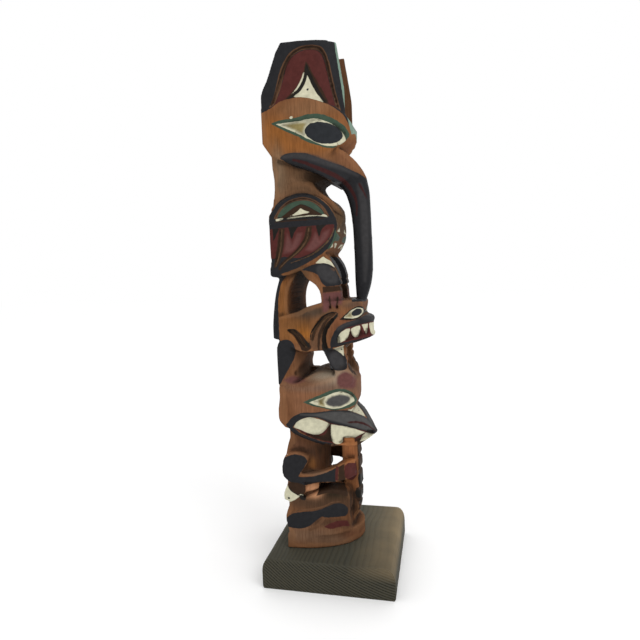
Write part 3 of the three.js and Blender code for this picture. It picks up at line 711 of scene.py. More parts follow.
# Faded paint and painted sheen on the black of the upper lip.
paint("faded_and_sheen",
      shape((-30, 181),
            [(-15, 181.6), (-5, 183), (8, 184.8), (22, 184.8), (31, 182.6), (40, 178.6), (46, 173)],
            [(48, 168), (44, 165.8), (36, 167), (24, 170.4), (10, 173.6), (0, 176), (-12, 179),
             (-30, 180)]))
paint("bare",
      shape((16.4, 130), [(16.2, 150), (16.8, 156.4)], [(18.6, 158), (26, 158), (28.4, 156)],
            [(29, 150), (29, 130)]), beyond=15)
paint("red",
      shape((-38, 166.4), [(-30, 173), (-18, 177), (-6, 175)], [(3, 172)], [(42, 164.6)],
            [(46, 161)], [(28, 153)], [(3, 150.6)],
            [(-6, 152.6), (-16, 155.4), (-27, 160), (-38, 166.4)]))
paint("wine", stroke(2.4, (22, 173.6), (31, 174.2), (39, 172.6), (45.4, 169.2), (51, 165.4)))
paint("umber",
      shape((-26, 161.4), [(-14, 158), (-4, 160), (1, 168)], [(3, 171)], [(3.6, 152)],
            [(-6, 153.4), (-16, 156.6), (-26, 161.4)]))
paint("cream",
      shape((-37.8, 166.4),
            [(-34, 172), (-27, 176), (-19, 177.4), (-10, 176), (-3, 173.6), (2, 171)],
            [(-3, 164.4), (-8, 160.4), (-14, 158.8), (-22, 160.4), (-30, 163.8), (-37.8, 166.4)]),
      shape((3.2, 170.6), [(15, 169.4), (28, 167), (39.6, 163.4)], [(34, 160.4), (28.4, 157.6)],
            [(16, 157.2)], [(15.6, 152.4)],
            [(11, 149.8), (7, 150.2), (4, 153.6), (2.8, 160), (3.2, 170.6)]),
      shape((40.4, 163.4), [(52, 161.8)], [(46, 156)], [(34, 154)], [(37, 160.4)]),
      shape((21, 186.9), [(26, 188), (31.4, 192.4)], [(34.6, 190), (38.8, 185.4), (43.6, 179)],
            [(38, 181.6), (30, 184.7), (24, 186.1), (21, 186.9)]))
tell("mouth")

# %% The squatting figure's arms and knees
paint("black",
      shape((-58, 124), [(-50, 131.6), (-42, 135.6), (-34, 136.2), (-27.6, 134.4), (-23.6, 130)],
            [(-26, 125), (-30, 119), (-34.4, 113)], [(-34.4, 111.2)],
            [(-20, 112.6), (-10, 115.4), (0, 119.8), (7, 123.6)], [(6.4, 108)],
            [(-5, 107.4), (-15, 105.8), (-26, 103)], [(-33, 102), (-40, 103.6), (-46, 106)],
            [(-58, 112)]), beyond=16)
paint("red",
      shape((6.2, 109.6), [(6.4, 118), (7.4, 125.4)], [(10.4, 125)], [(9.4, 117), (9, 109.6)]),
      shape((16.4, 126), [(21, 130), (28.6, 132)], [(30.4, 118)],
            [(24.6, 111.6), (18, 112.6), (16, 118), (16.4, 126)]))
paint("umber",
      shape((9, 109.4), [(10.4, 125)], [(16.6, 129)], [(16.4, 117), (18, 109)]),
      shape((-46.6, 105), [(-46, 98.6), (-42, 94.4), (-37, 91.6), (-29, 92.4)],
            [(-27.4, 96), (-27, 102)], [(-36, 105)]), beyond=12)
paint("line",
      shape((-47, 103), [(-45, 98), (-41, 94.4), (-36, 91.8), (-29.6, 92.6)], [(-27, 91.4)],
            [(-28, 86), (-33, 86)], [(-36, 90), (-41.6, 92.6), (-45.6, 96.4), (-48, 101.6)]),
      beyond=30)
paint("cream",
      shape((-48, 102.4), [(-45, 96), (-40.4, 92.6), (-34.2, 89.4)], [(-40, 85.4), (-46, 82.4)],
            [(-60, 80)], [(-60, 102)]),
      stroke(1.3, (-36, 90.6), (-33, 91.4), (-29, 91)), beyond=30)
paint("pupil", oval(-46.4, 87, 1.3, 1.1), beyond=30)
# This umber shape is painted shade in the recess between the thigh and the forearm.
paint("umber",
      shape((-12, 106.4), [(16, 108)], [(19, 98)], [(18, 93), (8, 95), (-4, 95), (-16, 91)],
            [(-12.4, 98)]))
tell("arms and knees")

# %% The squatting figure's legs and feet
paint("black",
      shape((-58, 56),
            [(-50, 64), (-46.6, 67.4), (-42, 70), (-30, 72.6), (-20, 74), (-10, 77.2), (-2, 81.2),
             (5, 84.2), (12, 84.8), (17.4, 81.6), (19, 77), (16.4, 72), (10, 69.8), (0, 68.4),
             (-6, 67.8), (-10, 68.6)],
            [(-16, 64.2), (-22, 58.8), (-28, 55), (-36, 53), (-44, 53.4), (-58, 55)]), beyond=18)
paint("tan",
      shape((-9.4, 67.6), [(-14, 62), (-20, 56.6), (-27, 52.6)], [(-24, 51)],
            [(-16, 55.4), (-10, 61.6), (-6, 66.6)]),
      stroke(1.8, (-48, 68), (-36, 73.6), (-22, 76), (-8, 80), (2, 85.4), (12, 87)), beyond=18)
paint("red",
      shape((-8.4, 57.4), [(0, 62.2), (8, 65), (18, 66.2)], [(20.4, 60)],
            [(12, 59.4), (5, 57), (-2, 55.2), (-8.4, 57.4)]), beyond=14)
paint("umber",
      shape((30.6, 157), [(31, 140), (31.4, 120), (31.6, 104)], [(28, 103)], [(27, 92)], [(30, 88)],
            [(31, 82)], [(27, 75)], [(36, 84)], [(42, 104)], [(42, 157)]),
      stroke(1.6, (22.4, 99), (21.8, 84), (21.6, 68)),
      stroke(1.4, (25.6, 99), (25.2, 86), (24.4, 72)))
paint("line",
      shape((31, 118), [(30.4, 112), (31.6, 104)], [(42, 104)], [(42, 120)]),
      shape((27.6, 101), [(27, 96), (29.6, 92)], [(42, 92)], [(42, 102.4)]),
      shape((31, 90), [(33, 84), (30, 79)], [(42, 80)], [(42, 90)]))
tell("legs and feet")
print("shapes on each coat:", {coat: len(shapes) for coat, shapes in painted.items()})

# %% [markdown]
# ## Keeping the skin light
# Only the rims of the painted shapes need quads this small. A coarser Remesh would blur the rims
# with the rest, so the skin stays fine while it is measured, and then the Decimate modifier thins
# it, flat parts first. A vertex group keeps it off the quads along each rim.

# %% Read every shape's distance at every point
TURN_AWAY = 40.0  # how fast paint ends where a surface turns away, in mm for a cosine of one


def coat_distances(mesh):
    """For each coat, how far outside its shapes each of the mesh's points is, in mm."""
    points, turned = positions(mesh), normals(mesh)
    on_plane, towards = sight(points), facing(points, turned)
    result = {}
    for coat, shapes in painted.items():
        nearest = np.full(len(points), FAR)
        for outline, beyond, least, most in shapes:
            away = distance_to(outline, on_plane)
            away = np.maximum(away, beyond - np.abs(points[:, 1]) / MM)
            away = np.maximum(away, np.clip((least - towards) * TURN_AWAY, -FAR, FAR))
            away = np.maximum(away, np.clip((towards - most) * TURN_AWAY, -FAR, FAR))
            nearest = np.minimum(nearest, away)
        result[coat] = nearest
    return result


coat_distance = coat_distances(pole.data)
print("coats measured at", len(pole.data.vertices), "points:", len(coat_distance))

# %% Thin the plain parts
MOST_TRIANGLES = 190_000
KEPT_RINGS = 1  # rows of quads left as they are on both sides of a rim
SEEN_SHARE = 0.5  # how freely the sides are thinned, where the back and the insides are 1
UNSEEN = SEEN - 0.1  # a surface that faces the painter less than this is at the back or inside


def triangle_count(mesh):
    """How many triangles the mesh's faces come to."""
    return sum(len(polygon.vertices) - 2 for polygon in mesh.polygons)


def thin_plain_parts(obj, coat_distance):
    """Decimates the skin away from the rims of the painted shapes, down to MOST_TRIANGLES."""
    ends = edge_ends(obj.data)
    at_rim = np.zeros(len(obj.data.vertices))
    for away in coat_distance.values():
        across = ends[(away[ends[:, 0]] < 0) != (away[ends[:, 1]] < 0)]
        at_rim[across.ravel()] = 1
    for _ in range(KEPT_RINGS):
        at_rim = np.maximum(at_rim, neighbour_mean(at_rim[:, None], ends)[:, 0] > 0)
    unseen = facing(positions(obj.data), normals(obj.data)) < UNSEEN
    weight_group(obj, "plain parts", np.where(unseen, 1.0, SEEN_SHARE) * (1 - at_rim))
    before = triangle_count(obj.data)
    thin = obj.modifiers.new("thin plain parts", "DECIMATE")
    thin.vertex_group = "plain parts"
    thin.ratio = min(1.0, MOST_TRIANGLES / before)
    apply_modifiers(obj)
    obj.vertex_groups.clear()
    print("kept points:", int(at_rim.sum()), "triangles:", before, "to", triangle_count(obj.data))


thin_plain_parts(pole, coat_distance)

# %% Read the thinned skin
points, turned = positions(pole.data), normals(pole.data)
on_plane, towards = sight(points), facing(points, turned)
coat_distance = coat_distances(pole.data)
print("points inside each coat:", {coat: int((d < 0).sum()) for coat, d in coat_distance.items()})

# %% [markdown]
# ## Fine cuts
# A knife line runs round most painted shapes, and the eyes, teeth and lips are rounded over. Bump
# in the material would leave the outline of the cuts flat, so each cut moves the points of the
# skin along their normals, by a depth that depends only on the distance to a shape.

# %% Cut and round over
CUTS = [  # coat, knife line depth, its width, how far the inside is rounded up (mm)
    ("black", 0.22, 0.8, 0.0),
    ("red", 0.25, 0.8, 0.0),
    ("green", 0.25, 0.8, 0.15),
    ("cream", 0.25, 0.8, 0.3),
    ("pupil", 0.15, 0.8, 0.1),
    ("line", 0.3, 1.1, -0.3),
    ("bare", 0.3, 0.8, 1.3),
]
SHOULDER = 2.5  # how far inside a shape's rim the rounding ends, in mm

lift = np.zeros(len(points))
for coat, depth, width, swell in CUTS:
    away = coat_distance[coat]
    lift -= depth * np.exp(-(away / width) ** 2)
    lift += swell * np.clip(-away / SHOULDER, 0, 1)
lift *= ramp(towards, SEEN, 4)
points += turned * lift[:, None] * MM
pole.data.vertices.foreach_set("co", points.astype(np.float32).ravel())
pole.data.update()
print("deepest cut:", round(float(lift.min()), 2), "mm, highest:",
      round(float(lift.max()), 2), "mm")

# %% [markdown]
# ## Stain, painted shade, hollows and worn edges
# Before painting, the cedar was rubbed with stain, more orange on the round parts. Broad soft
# patches of colour carry that stain, and also painted shade, darker in recesses and under parts
# that stand out, and painted light where some of those places would otherwise come out too dark.
# No noise texture knows where those are, so the patches are kept on the points as one colour
# attribute. A second attribute says how hollow or how proud each point is, from how far it lies
# from the average of the skin around it, and the material darkens the hollows by it as painted
# shade and pales the worn edges.

# %% Stain and painted shade patches
STAIN = "#6f4a31"
BACK_STAIN = "#4f3828"
OIL = np.array([1.0, 0.95, 0.88])  # the warm cast of the oil that carries the stain
# Stain tones, with patches of painted shade in recesses and under parts, and a few of painted light
STAIN_AND_SHADING_PATCHES = [  # across, up, half-width, half-height, colour
    (-10, 470, 60, 26, "#7d5333"), (-44, 465, 18, 28, "#83542a"), (-10, 496, 30, 10, "#7c5a40"),
    (-10, 458, 36, 9, "#81532c"), (35, 445, 16, 12, "#7a523a"), (-24, 425, 60, 24, "#634b38"),
    (-44, 436, 9, 26, "#735f4c"), (2, 424, 18, 12, "#33271e"), (20, 385, 10, 24, "#574535"),
    (-40, 308, 12, 34, "#623f25"), (-45, 300, 6, 30, "#7b522f"), (-24, 300, 10, 36, "#2c2018"),
    (-24, 330, 12, 8, "#2c2118"), (-26, 274, 22, 14, "#6d4a2c"), (-24, 266, 12, 8, "#895828"),
    (-12, 290, 24, 7, "#473a30"), (8, 276, 10, 12, "#6a4530"), (30, 298, 14, 5, "#584438"),
    (28, 282, 16, 6, "#734a35"), (-40, 266, 12, 8, "#7a5230"), (-22, 238, 14, 18, "#70503b"),
    (-10, 188, 80, 26, "#79553f"), (-44, 180, 9, 20, "#6e4a33"), (-6, 212, 44, 7, "#6b564a"),
    (4, 224, 26, 9, "#8c8173"), (-30, 214, 16, 5, "#6b4c3a"), (30, 212, 8, 14, "#6f5344"),
    (-38, 148, 16, 12, "#5c3f2f"), (-12, 138, 22, 16, "#4d372b"), (-4, 142, 10, 8, "#3a2b22"),
    (-19, 127, 5, 8, "#7d5432"), (-14, 117, 20, 4, "#655043"), (-20, 99, 10, 8, "#a47555"),
    (21, 144, 9, 16, "#a86f4a"), (24, 106, 8, 7, "#7a5034"), (24, 82, 9, 20, "#4c3021"),
    (-14, 84, 60, 12, "#4b382b"), (5, 96, 22, 8, "#2d251c"), (-6, 62, 60, 7, "#50392b"),
    (-14, 46, 90, 11, "#6c5342"), (30, 50, 22, 8, "#60402f"), (-18, 96, 9, 7, "#c08f6e"),
]


def stain_and_shading_colours(at, back):
    """The stain and painted shading at each point: the overall colour, each soft patch over it, the
    back.
    """
    colour = np.tile(linear(STAIN)[:3], (len(at), 1))
    for across, up, half_width, half_height, tone in STAIN_AND_SHADING_PATCHES:
        r2 = ((at[:, 0] - across) / half_width) ** 2 + ((at[:, 1] - up) / half_height) ** 2
        amount = np.exp(-r2 ** 1.5)[:, None]
        colour += (np.array(linear(tone)[:3]) - colour) * amount
    colour = colour + (np.array(linear(BACK_STAIN)[:3]) - colour) * back[:, None]
    return colour * OIL


BACK_SHARE = 0.75  # how much of the back's own stain shows there
stain_and_shading = stain_and_shading_colours(on_plane, BACK_SHARE * ramp(-towards, -0.1, 5))
print("stain patches:", len(STAIN_AND_SHADING_PATCHES), "mean stain:", stain_and_shading.mean(0).round(3))

# %% Hollows, and what the material reads
AROUND = 8  # how many neighbours away the skin around a point reaches
EVENING = 2  # passes that take the grain of the skin out of the result


def hollowness(points, turned, ends):
    """How far below the surrounding skin each point lies, in mm, negative where it is proud."""
    around = points
    for _ in range(AROUND):
        around = neighbour_mean(around, ends)
    return np.einsum("ij,ij->i", around - points, turned) / MM


def keep(mesh, name, values, kind="FLOAT"):
    """Stores values on the mesh's points under a name."""
    attribute = mesh.attributes.new(name, kind, "POINT")
    field = "value" if kind == "FLOAT" else "color"
    attribute.data.foreach_set(field, values.astype(np.float32).ravel())


ends = edge_ends(pole.data)
hollow = hollowness(points, normals(pole.data), ends)
for _ in range(EVENING):
    hollow = neighbour_mean(hollow[:, None], ends)[:, 0]
# The stain attribute holds the stain together with the patches' painted shade and light.
keep(pole.data, "stain", np.concatenate([stain_and_shading, np.ones((len(points), 1))], 1), "FLOAT_COLOR")
keep(pole.data, "hollow", np.clip(hollow, -1, 1) * ramp(towards, -0.1, 6))
for coat, away in coat_distance.items():
    keep(pole.data, coat, away)
print("hollows:", round(float(hollow.max()), 2), "mm, edges:", round(float(hollow.min()), 2), "mm")

# %% [markdown]
# ## Western red cedar, stained and painted with matt oil enamel
# Cedar is a straight-grained softwood, about 1 to 3 mm between rings, and the log stands upright,
# so its streaks run up the pole. Enamel brushed on by hand covers it unevenly: thin at the rims
# and worn where hands touch. Both are dielectric, with an IOR near 1.5. Each coat could be a
# material of its own, but then its rim could only follow the mesh's faces, so one material lays
# all the coats over the wood by their distances. Rough matt wood shows hardly any mirror light,
# and the deep hollows have to stay dark, so the specular level is low.

# %% Bare cedar
STREAKS = 900.0  # per metre across the grain, so one about every 1.1 mm
UP_GRAIN = (1, 1, 0.06)  # and each is 17 times as long up the pole as it is wide
MOTTLE = 70.0  # per metre, so the stain varies about every 14 mm
RUBBED = "#8b6344"  # edges rubbed back to pale wood


def bare_cedar(tree, place, hollow):
    """The colour of the stained wood with its painted shading, rubbed at its edges, and the streaks
    in it.
    """
    up_grain = add(tree, "ShaderNodeMapping", {"Vector": place, "Scale": UP_GRAIN})
    streak = add(tree, "ShaderNodeTexNoise", {
        "Vector": up_grain.outputs["Vector"], "Scale": STREAKS, "Detail": 5.0,
        "Roughness": 0.65}).outputs["Fac"]
    mottle = add(tree, "ShaderNodeTexNoise", {"Vector": place, "Scale": MOTTLE, "Detail": 3.0})
    # This attribute is the stain with painted shade and light in patches.
    stain = add(tree, "ShaderNodeAttribute", attribute_name="stain").outputs["Color"]
    grain = add(tree, "ShaderNodeMapRange", {
        "Value": streak, "From Min": 0.3, "From Max": 0.7, "To Min": 0.72, "To Max": 1.22})
    patch = add(tree, "ShaderNodeMapRange", {
        "Value": mottle.outputs["Fac"], "From Min": 0.3, "From Max": 0.7, "To Min": 0.85,
        "To Max": 1.12})
    shade = add(tree, "ShaderNodeMath", {
        0: grain.outputs["Result"], 1: patch.outputs["Result"]}, operation="MULTIPLY").outputs[0]
    colour = add(tree, "ShaderNodeMix", {0: 1.0, 6: stain, 7: shade},
                 data_type="RGBA", blend_type="MULTIPLY").outputs[2]
    rub = add(tree, "ShaderNodeMapRange", {
        "Value": hollow, "From Min": -0.15, "From Max": -0.6, "To Min": 0.0,
        "To Max": 0.3}).outputs["Result"]
    colour = add(tree, "ShaderNodeMix", {0: rub, 6: colour, 7: linear(RUBBED)},
                 data_type="RGBA").outputs[2]
    return colour, streak


print("streaks:", round(1000 / STREAKS, 1), "mm wide, mottling:", round(1000 / MOTTLE), "mm")

# %% Coats of enamel over it
BRUSH = 240.0  # per metre, so brush marks are about 4 mm wide
WOBBLE = 0.35  # how far a brush strays from a shape's rim, in mm
WOOD_ROUGH = 0.75


def coats_over(tree, place, colour):
    """The colour and roughness once every coat lies where its distance is below zero."""
    brush = add(tree, "ShaderNodeTexNoise", {
        "Vector": place, "Scale": BRUSH, "Detail": 3.0}).outputs["Fac"]
    wobble = add(tree, "ShaderNodeMapRange", {
        "Value": brush, "From Min": 0.25, "From Max": 0.75, "To Min": -WOBBLE,
        "To Max": WOBBLE}).outputs["Result"]
    wear = add(tree, "ShaderNodeMapRange", {
        "Value": brush, "From Min": 0.3, "From Max": 0.7, "To Min": 0.86,
        "To Max": 1.12}).outputs["Result"]
    rough = WOOD_ROUGH
    for coat, (paint_colour, paint_rough, rim) in PAINTS.items():
        away = add(tree, "ShaderNodeAttribute", attribute_name=coat).outputs["Fac"]
        away = add(tree, "ShaderNodeMath", {0: away, 1: wobble}, operation="ADD").outputs[0]
        cover = add(tree, "ShaderNodeMapRange", {
            "Value": away, "From Min": -rim, "From Max": rim, "To Min": 1.0, "To Max": 0.0},
            interpolation_type="SMOOTHSTEP").outputs["Result"]
        tone = add(tree, "ShaderNodeMix", {0: 1.0, 6: linear(paint_colour), 7: wear},
                   data_type="RGBA", blend_type="MULTIPLY").outputs[2]
        colour = add(tree, "ShaderNodeMix", {0: cover, 6: colour, 7: tone},
                     data_type="RGBA").outputs[2]
        rough = add(tree, "ShaderNodeMix", {
            "Factor": cover, "A": rough, "B": paint_rough}).outputs["Result"]
    return colour, rough


print("coats of enamel:", len(PAINTS))

# %% The pole's material, and what the pole stands for
# Painted shade: a near-black brown that darkens the hollows.
HOLLOW_SHADE = "#1d1611"


def painted_cedar():
    """The pole's material: bare cedar, the coats over it, and painted shade in the hollows of both.
    """
    material, tree = new_material("western red cedar, stained, painted in matt enamel", STAIN)
    place = add(tree, "ShaderNodeTexCoord").outputs["Object"]
    hollow = add(tree, "ShaderNodeAttribute", attribute_name="hollow").outputs["Fac"]
    colour, streak = bare_cedar(tree, place, hollow)
    colour, rough = coats_over(tree, place, colour)
    # The hollows are darkened here as painted shade.
    hollow_shade = add(tree, "ShaderNodeMapRange", {
        "Value": hollow, "From Min": 0.06, "From Max": 0.5, "To Min": 0.0,
        "To Max": 0.6}).outputs["Result"]
    colour = add(tree, "ShaderNodeMix", {0: hollow_shade, 6: colour, 7: linear(HOLLOW_SHADE)},
                 data_type="RGBA").outputs[2]
    bump = add(tree, "ShaderNodeBump", {
        "Height": streak, "Strength": 0.35, "Distance": 0.25 * MM}).outputs["Normal"]
    surface = add(tree, "ShaderNodeBsdfPrincipled", {
        "Base Color": colour, "Roughness": rough, "Normal": bump, "IOR": 1.5,
        "Specular IOR Level": 0.05})
    add(tree, "ShaderNodeOutputMaterial", {"Surface": surface.outputs["BSDF"]})
    return material


cedar = painted_cedar()
pole.data.materials.append(cedar)
pole.data.shade_smooth()
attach(pole, "root")
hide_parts("carved_pole")
print("pole:", len(pole.data.vertices), "points, material nodes:", len(cedar.node_tree.nodes))

# %% [markdown]
# ## The block
# The base is an offcut of construction softwood, 140 mm square, its long top edges rounded as
# milled timber's are. A cube with bevels would do for one block, but a milled board is one section
# all along, so a Geometry Nodes tree sweeps that section, and the section, the length and the
# unevenness of the sawn faces can each be changed by name.

# %% The board's sizes
WIDTH, THICK, LENGTH = 0.140, 0.0334, 0.140
ROUND_IN, ROUND_DOWN = 0.009, 0.015  # the milled round on the top edges: in from the side, and down
LOW_ROUND = 0.0015  # the underside's edges are only eased
CORNER_POINTS = 8
SECTION_STEP, LENGTH_STEP = 0.003, 0.004  # between points round the section, and along the board
UNEVENNESS = 0.0004
SAW_WAVES = 60.0  # per metre, so the faces wave about every 17 mm
print("board:", WIDTH, "x", LENGTH, "x", THICK, "m")

# %% Sweep the board's section
def socket_of(tree, name):
    """The identifier of a tree's input with a name."""
    return next(item.identifier for item in tree.interface.items_tree
                if item.name == name and item.in_out == "INPUT")


def board_tree():
    """A node tree that sweeps a rounded section along Y, with noise on its faces."""
    tree = bpy.data.node_groups.new("milled board", "GeometryNodeTree")
    for name in ("Width", "Thickness", "Length", "Round in", "Round down", "Unevenness"):
        tree.interface.new_socket(name, in_out="INPUT", socket_type="NodeSocketFloat")
    tree.interface.new_socket("Material", in_out="INPUT", socket_type="NodeSocketMaterial")
    tree.interface.new_socket("Geometry", in_out="OUTPUT", socket_type="NodeSocketGeometry")
    given = add(tree, "NodeGroupInput").outputs

    # The corners are rounded on a squat section, which is then stretched, so that the top edges'
    # round is deeper than it is wide.
    stretch = add(tree, "ShaderNodeMath", {0: given["Round down"], 1: given["Round in"]},
                  operation="DIVIDE").outputs[0]
    squat = add(tree, "ShaderNodeMath", {0: given["Thickness"], 1: stretch},
                operation="DIVIDE").outputs[0]
    section = add(tree, "GeometryNodeCurvePrimitiveQuadrilateral", {
        "Width": given["Width"], "Height": squat})
    corner = add(tree, "GeometryNodeInputPosition").outputs[0]
    height = add(tree, "ShaderNodeSeparateXYZ", {0: corner}).outputs["Y"]
    # The sweep turns the section over, so the corners below its middle become the top edges.
    top_edge = add(tree, "FunctionNodeCompare", {"A": height, "B": 0.0},
                   operation="LESS_THAN").outputs[0]
    radius = add(tree, "GeometryNodeSwitch", {
        "Switch": top_edge, "False": LOW_ROUND, "True": given["Round in"]},
        input_type="FLOAT").outputs[0]
    rounded = add(tree, "GeometryNodeFilletCurve", {
        "Curve": section.outputs[0], "Radius": radius, "Count": CORNER_POINTS}, mode="POLY")
    scale = add(tree, "ShaderNodeCombineXYZ", {"X": 1.0, "Y": stretch, "Z": 1.0}).outputs[0]
    tall = add(tree, "GeometryNodeTransform", {"Geometry": rounded.outputs[0], "Scale": scale})
    profile = add(tree, "GeometryNodeResampleCurve", {
        "Curve": tall.outputs[0], "Length": SECTION_STEP}, mode="LENGTH")

    ends_of_path = {}
    for end, share in (("Start", -0.5), ("End", 0.5)):
        along = add(tree, "ShaderNodeMath", {0: given["Length"], 1: share}, operation="MULTIPLY")
        ends_of_path[end] = add(tree, "ShaderNodeCombineXYZ", {"Y": along.outputs[0]}).outputs[0]
    path = add(tree, "GeometryNodeCurvePrimitiveLine", ends_of_path)
    steps = add(tree, "GeometryNodeResampleCurve", {
        "Curve": path.outputs[0], "Length": LENGTH_STEP}, mode="LENGTH")
    board = add(tree, "GeometryNodeCurveToMesh", {
        "Curve": steps.outputs[0], "Profile Curve": profile.outputs[0], "Fill Caps": True})
    middle = add(tree, "ShaderNodeMath", {0: given["Thickness"], 1: 0.5},
                 operation="MULTIPLY").outputs[0]
    raised = add(tree, "ShaderNodeCombineXYZ", {"Z": middle}).outputs[0]
    placed = add(tree, "GeometryNodeTransform", {
        "Geometry": board.outputs[0], "Translation": raised})

    noise = add(tree, "ShaderNodeTexNoise", {"Scale": SAW_WAVES, "Detail": 2.0}).outputs["Color"]
    centred = add(tree, "ShaderNodeVectorMath", {0: noise, 1: (0.5, 0.5, 0.5)},
                  operation="SUBTRACT").outputs[0]
    amount = add(tree, "ShaderNodeCombineXYZ", {
        "X": given["Unevenness"], "Y": given["Unevenness"]}).outputs[0]
    offset = add(tree, "ShaderNodeVectorMath", {0: centred, 1: amount},
                 operation="MULTIPLY").outputs[0]
    uneven = add(tree, "GeometryNodeSetPosition", {
        "Geometry": placed.outputs[0], "Offset": offset})
    whole = add(tree, "GeometryNodeRealizeInstances", {0: uneven.outputs[0]})
    finished = add(tree, "GeometryNodeSetMaterial", {
        "Geometry": whole.outputs[0], "Material": given["Material"]})
    add(tree, "NodeGroupOutput", {0: finished.outputs[0]})
    return tree


sweep_tree = board_tree()
print("board tree:", len(sweep_tree.nodes), "nodes")

# %% [markdown]
# ## Fir stained with dark oil
# The block shows growth rings as arcs on its sawn ends and as streaks on its top and sides, which
# is what rings round one long axis give when a board is cut beside it. A wood picture would repeat
# and would not agree from face to face, so the rings are the distance from that axis, in object
# space, a little bent by noise. The oil stain is dark and matt, and the pale wood shows where the
# edges are worn; along the top edge on the figures' side that paleness is also painted light. The
# board is painted darker towards -Y, as painted shade.

# %% Stained fir
RING_X, RING_Z = 0.125, 0.235  # where the tree's middle ran, outside the board
RING_SPACING = 0.0027
RING_BEND = 0.006  # how far the rings stray from circles
BEND_WAVES = 14.0  # per metre, so every 70 mm or so
FIBRES = 700.0  # per metre across the grain, so one about every 1.4 mm
ALONG_GRAIN = (1, 0.05, 1)  # and each is 20 times as long as it is wide
BLOTCHES = 35.0  # per metre, so every 30 mm or so


def growth_rings(tree, place, parts):
    """The late wood of each growth ring, from 0 in the early wood to 1 at the ring's edge."""
    squares = []
    for axis, centre in (("X", RING_X), ("Z", RING_Z)):
        off = add(tree, "ShaderNodeMath", {0: parts[axis], 1: centre},
                  operation="SUBTRACT").outputs[0]
        squares.append(add(tree, "ShaderNodeMath", {0: off, 1: off},
                           operation="MULTIPLY").outputs[0])
    r2 = add(tree, "ShaderNodeMath", {0: squares[0], 1: squares[1]}, operation="ADD").outputs[0]
    radius = add(tree, "ShaderNodeMath", {0: r2}, operation="SQRT").outputs[0]
    bend = add(tree, "ShaderNodeTexNoise", {
        "Vector": place, "Scale": BEND_WAVES, "Detail": 2.0}).outputs["Fac"]
    bent = add(tree, "ShaderNodeMath", {0: bend, 1: RING_BEND, 2: radius},
               operation="MULTIPLY_ADD").outputs[0]
    rings = add(tree, "ShaderNodeMath", {0: bent, 1: 1 / RING_SPACING},
                operation="MULTIPLY").outputs[0]
    within = add(tree, "ShaderNodeMath", {0: rings}, operation="FRACT").outputs[0]
    return add(tree, "ShaderNodeMapRange", {
        "Value": within, "From Min": 0.4, "From Max": 0.85, "To Min": 0.0, "To Max": 1.0},
        interpolation_type="SMOOTHSTEP").outputs["Result"]


def worn_and_lit_corner(tree, parts, blotch):
    """How far the top edge on the figures' side is paled, patchily: rubbed-off stain and painted
    light.
    """
    shoulder = add(tree, "ShaderNodeMapRange", {
        "Value": parts["X"], "From Min": 0.02, "From Max": 0.066}).outputs["Result"]
    high = add(tree, "ShaderNodeMapRange", {
        "Value": parts["Z"], "From Min": 0.018, "From Max": 0.028}).outputs["Result"]
    patchy = add(tree, "ShaderNodeMapRange", {
        "Value": blotch, "From Min": 0.3, "From Max": 0.7, "To Min": 0.5}).outputs["Result"]
    worn_and_lit = add(tree, "ShaderNodeMath", {0: shoulder, 1: high}, operation="MULTIPLY").outputs[0]
    return add(tree, "ShaderNodeMath", {0: worn_and_lit, 1: patchy}, operation="MULTIPLY").outputs[0]


print("rings:", RING_SPACING / MM, "mm apart")

# %% The block's material
def stained_board():
    """The block's material: ringed wood under a dark stain, streaked, paled at an edge by wear and
    painted light, and darker towards -Y as painted shade.
    """
    material, tree = new_material(
        "stained fir offcut, dark oil stain worn at the edges", "#3b3831")
    place = add(tree, "ShaderNodeTexCoord").outputs["Object"]
    parts = add(tree, "ShaderNodeSeparateXYZ", {0: place}).outputs
    late = growth_rings(tree, place, parts)
    top = add(tree, "ShaderNodeMapRange", {
        "Value": parts["Z"], "From Min": 0.030, "From Max": 0.033, "To Min": 1.0,
        "To Max": 0.3}).outputs["Result"]
    line = add(tree, "ShaderNodeMath", {0: late, 1: top}, operation="MULTIPLY").outputs[0]
    along = add(tree, "ShaderNodeMapping", {"Vector": place, "Scale": ALONG_GRAIN})
    fibre = add(tree, "ShaderNodeTexNoise", {
        "Vector": along.outputs["Vector"], "Scale": FIBRES, "Detail": 5.0, "Roughness": 0.7})
    streak = add(tree, "ShaderNodeMapRange", {
        "Value": fibre.outputs["Fac"], "From Min": 0.35, "From Max": 0.7, "To Min": 0.0,
        "To Max": 0.5}).outputs["Result"]
    blotch = add(tree, "ShaderNodeTexNoise", {
        "Vector": place, "Scale": BLOTCHES, "Detail": 4.0}).outputs["Fac"]
    # The pale top edge on the figures' side is wear and painted light.
    worn_and_lit = worn_and_lit_corner(tree, parts, blotch)
    # Painted shade: the board is darker towards -Y, its near side.
    near_side_shade = add(tree, "ShaderNodeMapRange", {
        "Value": parts["Y"], "From Min": -0.066, "From Max": 0.03, "To Min": 0.34,
        "To Max": 0.0}).outputs["Result"]
    colour = linear("#4a4a42")
    for amount, over in ((line, "#151511"), (streak, "#59523f"), (worn_and_lit, "#85755b"),
                         (near_side_shade, "#1f1d16")):
        colour = add(tree, "ShaderNodeMix", {0: amount, 6: colour, 7: linear(over)},
                     data_type="RGBA").outputs[2]
    rough = add(tree, "ShaderNodeMapRange", {
        "Value": blotch, "To Min": 0.55, "To Max": 0.8}).outputs["Result"]
    bump = add(tree, "ShaderNodeBump", {
        "Height": late, "Strength": 0.3, "Distance": 0.2 * MM}).outputs["Normal"]
    surface = add(tree, "ShaderNodeBsdfPrincipled", {
        "Base Color": colour, "Roughness": rough, "Normal": bump, "IOR": 1.5,
        "Specular IOR Level": 0.08})
    add(tree, "ShaderNodeOutputMaterial", {"Surface": surface.outputs["BSDF"]})
    return material


fir = stained_board()
print("fir:", len(fir.node_tree.nodes), "nodes")

